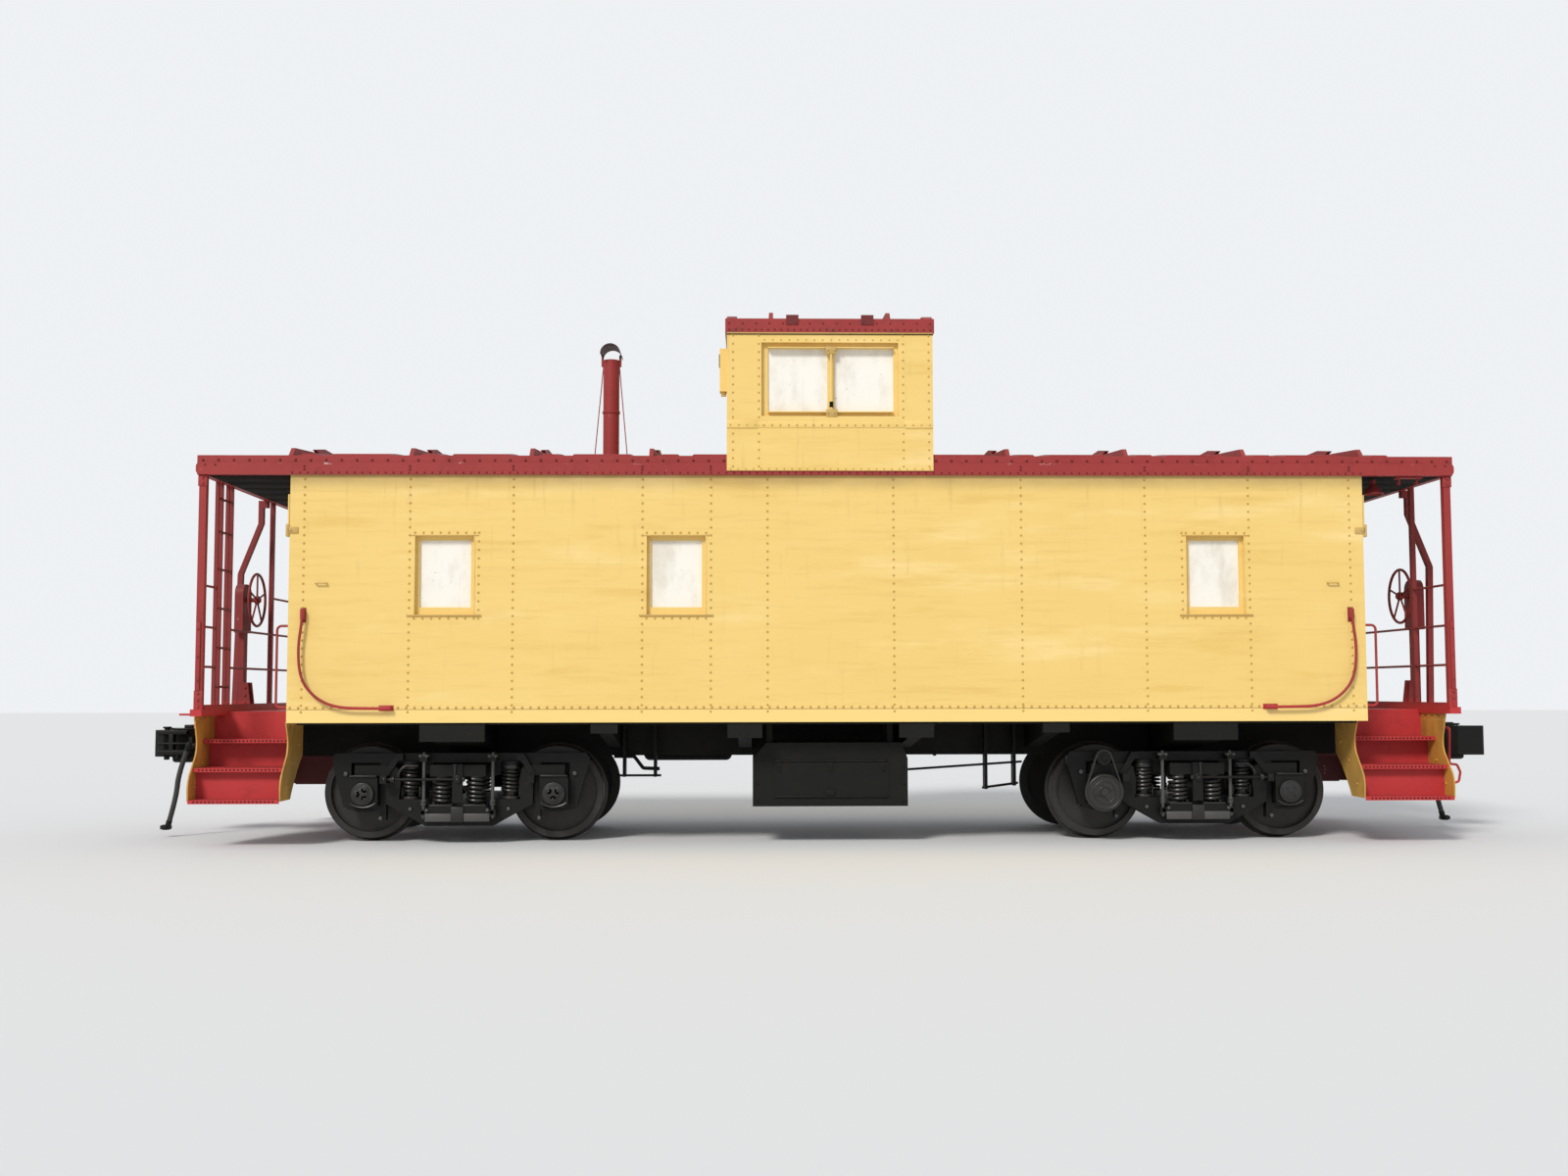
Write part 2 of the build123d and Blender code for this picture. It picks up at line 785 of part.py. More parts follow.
def roof_panel(length):
    """A raised panel across the whole roof, starting at X = 0, with bevelled ends."""
    half_span = arch_half - 6
    low_z = roof_edge_z - panel_sunk
    high_z = roof_edge_z + panel_raise
    with BuildPart() as panel:
        with BuildSketch(Plane.YZ):
            with BuildLine():
                ThreePointArc((-half_span, high_z), (0, high_z + roof_rise), (half_span, high_z))
                Line((half_span, high_z), (half_span, low_z))
                ThreePointArc((half_span, low_z), (0, low_z + roof_rise), (-half_span, low_z))
                Line((-half_span, low_z), (-half_span, high_z))
            make_face()
        extrude(amount=length)
        chamfer(panel.edges().filter_by(GeomType.CIRCLE).group_by(Axis.Z)[-1], panel_raise - 1)
    return panel.part


rib_crown = roof_edge_z + roof_rise + rib_height
saddle_outline = [
    (-saddle_root_half_width, rib_crown - 45),
    (-saddle_half_width, rib_crown - 6),
    (-saddle_flat_half_width, rib_crown + 42),
]
saddle_outline += [(-y, z) for y, z in reversed(saddle_outline)]
panel_table = (
    # start behind each seam, length
    (85, 150),
    (360, 505),
)
narrow_panel = roof_panel(panel_table[0][1])
wide_panel = roof_panel(panel_table[1][1])

with BuildPart() as main_roof:
    roof_shell(arch_half, roof_edge_z, roof_rise, roof_sheet, eave_width - 12, sheet_top, roof_length)
    for side in (-1, 1):
        with BuildSketch(Plane.XZ.offset(side * roof_half_width)):
            with Locations((0, (sheet_top + fascia_top) / 2)):
                RectangleRounded(2 * (half_roof + fascia_overrun), eave_height, fascia_radius)
        extrude(amount=-side * (roof_half_width - arch_half + 6))
        slab(
            sorted((side * (half_length + 0.3), side * (half_roof - 1))),
            (-arch_half + 20, arch_half - 20),
            (sheet_top, sheet_top + ceiling_thickness),
        )
    for end_x in (-half_roof, half_roof - roof_end_beam):
        with BuildSketch(Plane.YZ.offset(end_x)):
            arch_outline(arch_half - 1, post_head, roof_edge_z, roof_rise)
        extrude(amount=roof_end_beam)
    for index in range(rib_count):
        rib_x = -half_length + index * rib_pitch
        arch_rib(rib_x, rib_thickness, arch_half, roof_edge_z, roof_rise, rib_height)
        with BuildSketch(Plane.YZ.offset(rib_x - rib_thickness / 2)):
            Polygon(*saddle_outline, align=None)
        extrude(amount=rib_thickness)
        with Locations((rib_x + panel_table[0][0], 0, 0)):
            add(narrow_panel)
        if index < rib_count - 1:
            with Locations((rib_x + panel_table[1][0], 0, 0)):
                add(wide_panel)
    slab(
        (-cupola_length / 2, cupola_length / 2),
        (-cupola_half_width, cupola_half_width),
        (cupola_bottom, cupola_eave),
        mode=Mode.SUBTRACT,
    )
save(main_roof, "main_roof")

# Cupola: side sheets flush over the eaves, ends across the roof, and its own arched roof
cupola_window = (-606, 606)
cupola_window_z = (3771, 4428)
cupola_panes = ((-548, -20), (40, 566))
cupola_pane_z = (3815, 4382)
cupola_inside = cupola_half_width - wall
cupola_roof_half = cupola_half_width + cupola_roof_overhang
cupola_edge_z = cupola_eave + cupola_fascia
cupola_rib_x = 519
cupola_strip_x = 866
cupola_block_x = (277, 387)
cupola_box_y = (-1400, -1290)
cupola_box_z = (4008, 4394)
cupola_box_depth = 64
cupola_arch_edge = arch_z(
    cupola_half_width + cupola_roof_overhang, cupola_eave + cupola_fascia, cupola_rise, cupola_inside + 1
)
cupola_arch_rise = cupola_eave + cupola_fascia + cupola_rise - cupola_arch_edge

with BuildPart() as cupola_sides:
    for side in (-1, 1):
        outer = side * cupola_half_width
        inner = side * cupola_inside
        slab((-cupola_length / 2, cupola_length / 2), sorted((outer, inner)), (cupola_bottom, cupola_eave))
        slab(
            cupola_window,
            sorted((outer + side, side * (cupola_inside + window_lip_thickness))),
            cupola_window_z,
            mode=Mode.SUBTRACT,
        )
        for pane in cupola_panes:
            slab(pane, sorted((outer + side, inner - side)), cupola_pane_z, mode=Mode.SUBTRACT)
save(cupola_sides, "cupola_sides")

cupola_end_windows = ((-980, -300), (300, 980))
cupola_end_window_z = (3830, 4330)
with BuildPart() as cupola_ends:
    for side in (-1, 1):
        slab(
            sorted((side * cupola_length / 2, side * (cupola_length / 2 - wall))),
            (-cupola_inside, cupola_inside),
            (cupola_bottom, cupola_eave),
        )
        for opening in cupola_end_windows:
            slab(
                sorted((side * (cupola_length / 2 + 1), side * (cupola_length / 2 - wall - 1))),
                opening,
                cupola_end_window_z,
                mode=Mode.SUBTRACT,
            )
        box_x = (side * (cupola_length / 2 - 1), side * (cupola_length / 2 + cupola_box_depth))
        box_y = (-side * cupola_box_y[0], -side * cupola_box_y[1])
        slab(sorted(box_x), sorted(box_y), cupola_box_z)
        with Locations((sum(box_x) / 2, sum(box_y) / 2, cupola_box_z[0] - 16)):
            Cylinder(24, 34)
save(cupola_ends, "cupola_ends")

with BuildPart() as cupola_boards:
    for side in (-1, 1):
        for low, high in cupola_panes:
            slab(
                (low - board_overlap, high + board_overlap),
                sorted((side * cupola_inside, side * (cupola_inside - board_thickness))),
                (cupola_pane_z[0] - board_overlap, cupola_pane_z[1] + board_overlap),
            )
        for low, high in cupola_end_windows:
            inner = cupola_length / 2 - wall
            slab(
                sorted((side * inner, side * (inner - board_thickness))),
                (low - board_overlap, high + board_overlap),
                (cupola_end_window_z[0] - board_overlap, cupola_end_window_z[1] + board_overlap),
            )
save(cupola_boards, "cupola_window_boards")

with BuildPart() as cupola_roof:
    roof_shell(
        cupola_half_width + cupola_roof_overhang,
        cupola_eave + cupola_fascia,
        cupola_rise,
        roof_sheet,
        wall + cupola_roof_overhang,
        cupola_eave,
        cupola_length + 2 * cupola_roof_overhang,
    )
    for end_x in (-cupola_length / 2 - cupola_roof_overhang, cupola_length / 2 - wall):
        with BuildSketch(Plane.YZ.offset(end_x)):
            arch_outline(cupola_inside + 1, cupola_eave, cupola_arch_edge, cupola_arch_rise)
        extrude(amount=wall + cupola_roof_overhang)
    for side in (-1, 1):
        arch_rib(side * cupola_rib_x, rib_thickness, cupola_roof_half, cupola_edge_z, cupola_rise, 45)
        arch_rib(side * cupola_strip_x, 90, cupola_roof_half, cupola_edge_z, cupola_rise, 18)
        for block_side in (-1, 1):
            slab(
                sorted((side * cupola_block_x[0], side * cupola_block_x[1])),
                sorted((block_side * (cupola_roof_half - 24), block_side * (cupola_roof_half + 8))),
                (cupola_edge_z - 54, cupola_edge_z + 32),
            )
save(cupola_roof, "cupola_roof")

# Stove pipe with its half-round hood and two stays
pipe_x = -2062
pipe_y = 0
pipe_radius = 78
pipe_top = 4580
pipe_joint = 4066
stay_reach = 165
stay_radius = 5
stay_drop = 40
stay_foot_half = 20
stay_foot_plate = 8
hood_radius = 98
hood_length = 330
hood_base = pipe_top + 40
roof_crown = roof_edge_z + roof_rise + panel_raise
with BuildPart() as stove_pipe:
    with Locations((pipe_x, pipe_y, (pipe_top + roof_crown) / 2)):
        Cylinder(pipe_radius, pipe_top - roof_crown)
        Cylinder(pipe_radius - 4, pipe_top - roof_crown, mode=Mode.SUBTRACT)
    with Locations((pipe_x, pipe_y, pipe_joint)):
        Cylinder(pipe_radius + 8, 20)
        Cylinder(pipe_radius - 4, 20, mode=Mode.SUBTRACT)
    with BuildSketch(Plane.XZ.offset(-hood_length / 2)):
        with Locations((pipe_x, hood_base)):
            Circle(hood_radius)
            Circle(hood_radius - 4, mode=Mode.SUBTRACT)
            Rectangle(2 * hood_radius, hood_radius, align=(Align.CENTER, Align.MAX), mode=Mode.SUBTRACT)
    extrude(amount=hood_length)
    for side in (-1, 1):
        slab(
            sorted((pipe_x + side * (pipe_radius - 2), pipe_x + side * (hood_radius - 1))),
            (-15, 15),
            (pipe_top - 60, hood_base + 12),
        )
    for side in (-1, 1):
        stay_x = pipe_x + side * stay_reach
        bar_along(
            (pipe_x + side * (pipe_radius - 2), 0, pipe_top - stay_drop),
            (stay_x, 0, roof_crown + stay_radius),
            stay_radius,
        )
        slab(
            (stay_x - stay_foot_half, stay_x + stay_foot_half),
            (-stay_foot_half, stay_foot_half),
            (roof_crown, roof_crown + stay_foot_plate),
        )
save(stove_pipe, "stove_pipe")

# Platforms beyond the end walls: deck, end beam, the nose that carries the end posts and the coupler striker
beam_outer = 5560
beam_bottom = 1050
beam_end_bottom = 1140
beam_flange_top = 1240
beam_flange_half = 1378
nose_end = 5812
nose_half_width = 560
nose_thickness = 50
striker_half_width = 250
coupler_slot_half_width = 150
coupler_slot_half_height = 100
shank_half_height = 75
shank_half_width = 85


def both_ends_in_one(piece, name):
    """Sets a piece drawn at the +X end there and half a turn round at the other end, as one node."""
    with BuildPart() as placed:
        for turn in (0, 180):
            with Locations(Location((0, 0, 0), (0, 0, turn))):
                add(piece.part)
    save(placed, name)


def both_ends(piece, name):
    """Sets a piece drawn at the +X end there, and half a turn round at the other end."""
    for end, turn in (("a", 180), ("b", 0)):
        with BuildPart() as placed:
            with Locations(Location((0, 0, 0), (0, 0, turn))):
                add(piece.part)
        save(placed, f"{name}_{end}")


with BuildPart() as platform:
    slab(
        (half_length, beam_inner),
        (-platform_half_width, platform_half_width),
        (floor_top - deck_thickness, floor_top),
    )
    slab((beam_inner, beam_outer), (-half_width, half_width), (beam_end_bottom, post_foot))
    slab(
        (beam_inner, beam_outer),
        (-platform_half_width + 1, platform_half_width - 1),
        (beam_bottom, beam_end_bottom + 1),
    )
    slab((beam_inner, beam_inner + 12), (-beam_flange_half, beam_flange_half), (floor_top, beam_flange_top))
    slab((beam_outer, nose_end), (-nose_half_width, nose_half_width), (post_foot - nose_thickness, post_foot))
    slab(
        (beam_outer, beam_outer + 90),
        (-striker_half_width, striker_half_width),
        (coupler_height - 130, post_foot),
    )
    slab(
        (beam_outer - 1, beam_outer + 91),
        (-coupler_slot_half_width, coupler_slot_half_width),
        (coupler_height - shank_half_height - seat_gap, coupler_height + coupler_slot_half_height),
        mode=Mode.SUBTRACT,
    )
both_ends_in_one(platform, "platforms")

# Steps at the four corners: folded treads and risers between two shaped side plates
step_shift = 42
tread_plate = 12
tread_lip = 34
step_table = (
    # distance of the riser from the car's middle, of the tread's front edge, height of the tread
    (platform_half_width + seat_gap, 1110, 932),
    (930, 1345, 687),
    (1255, 1462, 418),
)
inner_plate_top = sheet_bottom - seat_gap
outer_plate_top = beam_end_bottom - seat_gap


def step_side_plate(low_x, top):
    """One shaped side plate of the steps on the -Y side, from its inner face."""
    with BuildSketch(Plane.YZ.offset(low_x)) as outline:
        with BuildLine():
            Line((-step_table[0][0], top), (-1320, top))
            Line((-1320, top), (-1262, 960))
            ThreePointArc((-1262, 960), (-1250, 880), (-1278, 790))
            Line((-1278, 790), (-1395, 655))
            ThreePointArc((-1395, 655), (-1440, 590), (-1456, 500))
            Line((-1456, 500), (-1450, 404))
            Line((-1450, 404), (-1165, 404))
            ThreePointArc((-1165, 404), (-1045, 560), (-867, 730))
            Line((-867, 730), (-step_table[0][0], 780))
            Line((-step_table[0][0], 780), (-step_table[0][0], top))
        make_face()
    extrude(outline.sketch, amount=step_plate)


with BuildPart() as corner_treads:
    inner = step_inner_x + seat_gap
    outer = step_outer_x - step_plate - seat_gap
    above_z = beam_end_bottom - seat_gap
    for riser_y, front_y, tread_z in step_table:
        slab((inner, outer), (-front_y, -riser_y), (tread_z - tread_plate, tread_z))
        slab((inner, outer), (-riser_y - tread_plate, -riser_y), (tread_z - tread_plate, above_z))
        slab((inner, outer), (-front_y, -front_y + tread_plate), (tread_z - tread_lip, tread_z))
        above_z = tread_z - tread_plate
with BuildPart() as corner_plates:
    step_side_plate(step_inner_x - step_plate, inner_plate_top)
    step_side_plate(step_outer_x - step_plate, outer_plate_top)
with BuildPart() as step_treads:
    with Locations((-step_shift, 0, 0)):
        add(corner_treads.part)
    with Locations((step_shift, 0, 0)):
        add(corner_treads.part.mirror(Plane.XZ))
    slab(
        (inside_half_length, half_length + seat_gap),
        (-half_width, half_width),
        (sill_top - seat_gap, floor_top),
        mode=Mode.SUBTRACT,
    )
both_ends_in_one(step_treads, "platform_steps")
with BuildPart() as step_plates:
    with Locations((-step_shift, 0, 0)):
        add(corner_plates.part)
    with Locations((step_shift, 0, 0)):
        add(corner_plates.part.mirror(Plane.XZ))
both_ends_in_one(step_plates, "step_side_plates")

# End posts and rails, drawn at the +X end
rail_radius = 11
corner_post_x = 5494
corner_post_y = 1425
corner_post_side = 62
stile_x = 5530
stile_sides = (590, 705, 870, 985)
stile_depth = 44
stile_width = 22
side_post_y = 640
side_post_width = 52
bent_post_width = 56
bent_post_depth = 50
bent_post = (
    # x, y, z of the bent post's middle, from the roof down to the nose
    (5570, -440, post_head),
    (5570, -440, 3020),
    (5762, -440, 2520),
    (5770, -360, post_foot),
)
rail_heights = (1573, 1925, 2288)
rail_x = 5514
loop_side = 1425
loop_reach = half_length + 102
loop_top = 1925
loop_low = 1215
rung_heights = (1398, 1750, 2106, 2460, 2800, 3100)
with BuildPart() as end_posts:
    for side in (-1, 1):
        slab(
            (corner_post_x - corner_post_side / 2, corner_post_x + corner_post_side / 2),
            (side * corner_post_y - corner_post_side / 2, side * corner_post_y + corner_post_side / 2),
            (post_foot, post_head),
        )
    slab(
        (stile_x - 30, stile_x + 10),
        (-side_post_y - side_post_width / 2, -side_post_y + side_post_width / 2),
        (post_foot, post_head),
    )
    for y in stile_sides:
        slab(
            (stile_x - stile_depth / 2, stile_x + stile_depth / 2 - 12),
            (y - stile_width / 2, y + stile_width / 2),
            (post_foot, post_head),
        )
both_ends_in_one(end_posts, "end_posts")

with BuildPart() as bent_posts:
    for (x0, y0, z0), (x1, y1, z1) in zip(bent_post[:-1], bent_post[1:]):
        with BuildSketch(Plane.XY.offset(z0)):
            with Locations((x0, y0)):
                Rectangle(bent_post_depth, bent_post_width)
        with BuildSketch(Plane.XY.offset(z1)):
            with Locations((x1, y1)):
                Rectangle(bent_post_depth, bent_post_width)
        loft(ruled=True)
    slab(
        (bent_post[0][0] - 70, bent_post[0][0]),
        (bent_post[0][1] - bent_post_width / 2, bent_post[0][1] + bent_post_width / 2),
        (post_head - 70, post_head),
    )
both_ends_in_one(bent_posts, "bent_posts")

near_face = -corner_post_y + corner_post_side / 2 + seat_gap
far_face = corner_post_y - corner_post_side / 2 - seat_gap
post_near = -side_post_y - side_post_width / 2 - seat_gap
post_far = -side_post_y + side_post_width / 2 + seat_gap
stile_near = stile_sides[0] - stile_width / 2 - seat_gap
with BuildPart() as end_rails:
    for z in rail_heights:
        bar_along((rail_x, near_face, z), (rail_x, post_near, z), rail_radius)
        stile_face = stile_sides[-1] + stile_width / 2 + seat_gap
        bar_along((rail_x, stile_face, z), (rail_x, far_face, z), rail_radius)
    for z in rail_heights[:2]:
        bar_along((rail_x, post_far, z), (rail_x, stile_near, z), rail_radius)
    for z in rung_heights:
        for low, high in zip(stile_sides[:-1], stile_sides[1:]):
            ends = (low + stile_width / 2 + seat_gap, high - stile_width / 2 - seat_gap)
            bar_along((rail_x, ends[0], z), (rail_x, ends[1], z), rail_radius)
both_ends_in_one(end_rails, "end_rails")

with BuildPart() as rail_loops:
    for side in (-1, 1):
        bent_bar(
            [
                (half_length, side * loop_side, loop_top),
                (loop_reach, side * loop_side, loop_top),
                (loop_reach, side * loop_side, loop_low),
                (half_length, side * loop_side, loop_low),
            ],
            40,
            rail_radius,
        )
both_ends_in_one(rail_loops, "rail_loops")

# Hand brakes: a braced column and housing on each nose, with an upright wheel towards the car
brake_y = -270
brake_wheel_x = 5545
brake_wheel_z = 2250
brake_wheel_radius = 268
brake_rim = 13
housing = (5640, 5722)
with BuildPart() as hand_brake:
    slab((5648, 5700), (brake_y - 55, brake_y + 55), (post_foot, 1960))
    slab(housing, (brake_y - 130, brake_y + 130), (1928, 2404))
    fillet(hand_brake.edges().filter_by(Axis.X).group_by(Axis.Z)[-1], 100)
    for side in (-1, 1):
        with BuildSketch(Plane.XZ.offset(-brake_y - side * 61)):
            Polygon((5570, post_foot), (5600, 1444), (5649, 1444), (5649, post_foot), align=None)
        extrude(amount=12, both=True)
    with Locations(Location(((brake_wheel_x + housing[0]) / 2, brake_y, brake_wheel_z), (0, 90, 0))):
        Cylinder(22, housing[0] - brake_wheel_x)
    with BuildSketch(Plane.XY.offset(brake_wheel_z)):
        with Locations((brake_wheel_x, brake_y + brake_wheel_radius - brake_rim)):
            Circle(brake_rim)
    revolve(axis=Axis((brake_wheel_x, brake_y, brake_wheel_z), (1, 0, 0)))
    with Locations(Location((brake_wheel_x, brake_y, brake_wheel_z), (0, 90, 0))):
        Cylinder(40, 36)
    for index in range(5):
        angle = math.radians(90 + 72 * index)
        reach = brake_wheel_radius - brake_rim
        rim_point = (
            brake_wheel_x,
            brake_y + reach * math.cos(angle),
            brake_wheel_z + reach * math.sin(angle),
        )
        bar_along((brake_wheel_x, brake_y, brake_wheel_z), rim_point, 9)
both_ends_in_one(hand_brake, "hand_brakes")

# Curved grab irons at the four body corners
grab_radius = 11
grab_y = half_width + 52
grab_route = (
    # distance from the car's middle, height
    (4594, 2010),
    (4594, 1740),
    (4560, 1530),
    (4420, 1340),
    (4180, 1235),
    (3880, 1207),
)
with BuildPart() as grab_iron:
    bent_bar([(x, -grab_y, z) for x, z in grab_route], 150, grab_radius)
    slab((4570, 4618), (-grab_y - 14, -half_width), (1960, 2085))
    slab((3800, 3925), (-grab_y - 14, -half_width), (1184, 1230))
with BuildPart() as grab_irons:
    add(grab_iron.part)
    add(grab_iron.part.mirror(Plane.XZ))
both_ends_in_one(grab_irons, "grab_irons")

# Couplers, each with its knuckle as a piece of its own
coupler_head_x = 5990
knuckle_gap = 0.3
with BuildPart() as coupler:
    slab(
        (beam_inner, coupler_head_x + 40),
        (-shank_half_width, shank_half_width),
        (coupler_height - shank_half_height, coupler_height + shank_half_height),
    )
    with BuildSketch(Plane.XY.offset(coupler_height - 140)):
        Polygon(
            (coupler_head_x, -95),
            (coupler_head_x + 120, -175),
            (coupler_head_x + 370, -175),
            (coupler_head_x + 370, -120),
            (coupler_head_x + 250, -100),
            (coupler_head_x + 190, 0),
            (coupler_head_x + 190, 150),
            (coupler_head_x + 120, 210),
            (coupler_head_x, 110),
            align=None,
        )
    extrude(amount=280)
    with BuildSketch(Plane.XY.offset(coupler_height - 125)):
        Polygon(
            (coupler_head_x + 190 + knuckle_gap, 20),
            (coupler_head_x + 190 + knuckle_gap, 150),
            (coupler_head_x + 260, 195),
            (coupler_head_x + 350, 160),
            (coupler_head_x + 385, 60),
            (coupler_head_x + 375, -10),
            (coupler_head_x + 320, 0),
            (coupler_head_x + 290, 60),
            align=None,
        )
    extrude(amount=250)
both_ends_in_one(coupler, "couplers")

# Uncoupling levers: from above each coupler out to a hanging handle
lever_radius = 11
lever_route = (
    (6060, -30, 1030),
    (5715, -30, 1030),
    (5700, -905, 1000),
    (5690, -905, 676),
    (5762, -905, 668),
    (5790, -905, 600),
    (5774, -905, 515),
    (5722, -905, 500),
)
with BuildPart() as lever:
    bent_bar(lever_route, 26, lever_radius)
    for bracket_y in (-500, -200):
        slab((5690, 5722), (bracket_y - 8, bracket_y + 8), (1000, post_foot - nose_thickness))
both_ends_in_one(lever, "uncoupling_levers")

# Air line at each end: a pipe with its cock, and the free hose with its coupling
line_y = 300
pipe_bore = 21
hose_radius = 24
hose_start = (5992, line_y, 800)
hose_points = (
    hose_start,
    (6064, line_y, 590),
    (6080, line_y, 370),
    (6138, line_y, 152),
)
hose_bends = (850, 1180)
with BuildPart() as air_pipe:
    bent_bar([(5510, line_y, beam_bottom), (5510, line_y, 850), (5960, line_y, 850)], 90, pipe_bore)
    with Locations((5970, line_y, 850)):
        Sphere(36)
    slab((5940, 5972), (line_y - 9, line_y + 9), (850, 930))
    hose_run = Vector(*hose_points[1]) - Vector(*hose_points[0])
    nozzle = hose_run.normalized()
    bar_along(tuple(Vector(*hose_start) - nozzle * 34), tuple(Vector(*hose_start) - nozzle * 0.3), 27)
both_ends_in_one(air_pipe, "air_pipes")

with BuildPart() as air_hose:
    with BuildLine() as hose_line:
        FilletPolyline(*hose_points, radius=hose_bends)
    with BuildSketch(Plane(origin=hose_line.line @ 0, z_dir=hose_line.line % 0)):
        Circle(hose_radius)
    sweep(path=hose_line.line)
both_ends(air_hose, "air_hose")

hose_end = Vector(*hose_points[3])
hose_way = (hose_end - Vector(*hose_points[2])).normalized()
hand_start = hose_end + hose_way * 0.3
hand_end = hose_end + hose_way * 66
with BuildPart() as glad_hand:
    bar_along(tuple(hand_start), tuple(hand_end), 27)
    with Locations((hand_end.X + 14, line_y, hand_end.Z + 2)):
        Cylinder(36, 46)
        Box(96, 40, 34)
both_ends(glad_hand, "glad_hand")

# Lamp under the ceiling of the platform at the +X end
lamp_x = 4915
lamp_y = -1250
with BuildPart() as lamp:
    with BuildSketch(Plane.XZ.offset(-lamp_y)):
        Polygon(
            (lamp_x, sheet_top),
            (lamp_x + 22, sheet_top),
            (lamp_x + 22, 3205),
            (lamp_x + 34, 3190),
            (lamp_x + 88, 3118),
            (lamp_x + 88, 3108),
            (lamp_x + 80, 3108),
            (lamp_x + 40, 3165),
            (lamp_x, 3165),
            align=None,
        )
    revolve(axis=Axis((lamp_x, lamp_y, 0), (0, 0, 1)))
save(lamp, "platform_lamp")

# Brake gear under the floor: cylinder, reservoir, levers and rods
rod_y = -300
with BuildPart() as brake_gear:
    with Locations(Location((-1330, 640, 850), (0, 90, 0))):
        Cylinder(190, 880)
    fillet(brake_gear.edges().filter_by(GeomType.CIRCLE), 60)
    for x in (-1630, -1030):
        slab((x - 20, x + 20), (600, 680), (1000, sill_top))
    with Locations(Location((1360, 560, 860), (0, 90, 0))):
        Cylinder(140, 420)
    with Locations(Location((1140, 560, 860), (0, 90, 0))):
        Cylinder(160, 24)
    with Locations(Location((1050, 560, 860), (0, 90, 0))):
        Cylinder(30, 170)
    for x in (1250, 1480):
        slab((x - 20, x + 20), (500, 620), (960, sill_top))
    bent_bar([(-1990, rod_y, 740), (-1800, rod_y, 738), (-1715, rod_y, 628), (-1560, rod_y, 622)], 30, 17)
    bar_along((-1958, rod_y - 40, 562), (-1543, rod_y - 40, 562), 11)
    bar_along((783, rod_y, 609), (1868, rod_y, 680), 11)
    bar_along((1497, rod_y + 50, 432), (1839, rod_y + 50, 477), 12)
    for x, low in ((-1890, 548), (-1600, 548), (1520, 424), (1790, 456)):
        slab((x - 14, x + 14), (rod_y - 58, rod_y + 66), (low, sill_top))
save(brake_gear, "brake_gear")

# Equipment box under the floor on the near side, with its hinged front door
box_low_x = -683
box_high_x = 699
box_front = -1160
box_back = -520
box_low = 327
box_high = 890
box_shoulder = 751
box_wall = 6
box_door_x = (-484, 516)
box_door_z = (412, 712)
with BuildPart() as equipment_box:
    with BuildSketch(Plane.XZ.offset(-box_back)):
        Polygon(
            (box_low_x, box_low),
            (box_high_x, box_low),
            (box_high_x, box_shoulder),
            (box_high_x - 57, box_high),
            (box_low_x + 121, box_high),
            (box_low_x, box_shoulder),
            align=None,
        )
    extrude(amount=box_back - box_front)
    slab(
        (box_low_x + box_wall, box_high_x - box_wall),
        (box_front + box_wall, box_back - box_wall),
        (box_low + box_wall, box_shoulder),
        mode=Mode.SUBTRACT,
    )
    slab(box_door_x, (box_front - 1, box_front + box_wall + 1), box_door_z, mode=Mode.SUBTRACT)
    for x in (box_low_x + 150, box_high_x - 150):
        for y in (box_front + 120, box_back - 120):
            slab((x - 25, x + 25), (y - 25, y + 25), (box_high, sill_top))
save(equipment_box, "equipment_box")

door_frame_gap = 5
hinge_radius = 9
with BuildPart() as box_door:
    slab(
        (box_door_x[0] - 10, box_door_x[1] + 10),
        (box_front - 8, box_front - 0.3),
        (box_door_z[0] - 10, box_door_z[1] + 10),
    )
    hinge_middle = (box_door_x[0] + box_door_x[1]) / 2
    with Locations(Location((hinge_middle, box_front - hinge_radius - 1, box_door_z[1] + 16), (0, 90, 0))):
        Cylinder(hinge_radius, box_door_x[1] - box_door_x[0])
save(box_door, "equipment_box_door")

# End doors, hung on their inner faces
for end, turn in (("a", 180), ("b", 0)):
    with BuildPart() as end_door:
        slab(
            (inside_half_length, inside_half_length + door_thickness),
            (-door_width / 2, door_width / 2),
            (floor_top + door_gap, floor_top + door_gap + door_height),
        )
        for hinge_z in (floor_top + 260, floor_top + 970, floor_top + 1680):
            with Locations((inside_half_length - door_hinge_radius, -door_width / 2 - 4, hinge_z)):
                Cylinder(door_hinge_radius, 110)
            slab(
                (inside_half_length - door_hinge_radius, inside_half_length + 1),
                (-door_width / 2 - 4, -door_width / 2 + 50),
                (hinge_z - 55, hinge_z + 55),
            )
    with BuildPart() as placed_door:
        with Locations(Location((0, 0, 0), (0, 0, turn))):
            add(end_door.part)
    save(placed_door, f"end_door_{end}")
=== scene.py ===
# %% [markdown]
# # A weathered railway caboose
# The CAD frame gives the car its real sizes and its moving parts: two trucks that swivel, four
# wheelsets that roll, two end doors and the lid of the equipment box.
# This lesson dresses that frame. It sets the camera and the light first, then mixes the finishes, hangs
# the air hoses, and last adds the pieces that a CAD model leaves out, such as rivets and springs.
# Everything is in metres: +X runs along the car, -Y faces the camera and +Z is up.

# %% Load the frame
import json
import math

import bmesh
import bpy
from mathutils import Matrix, Vector


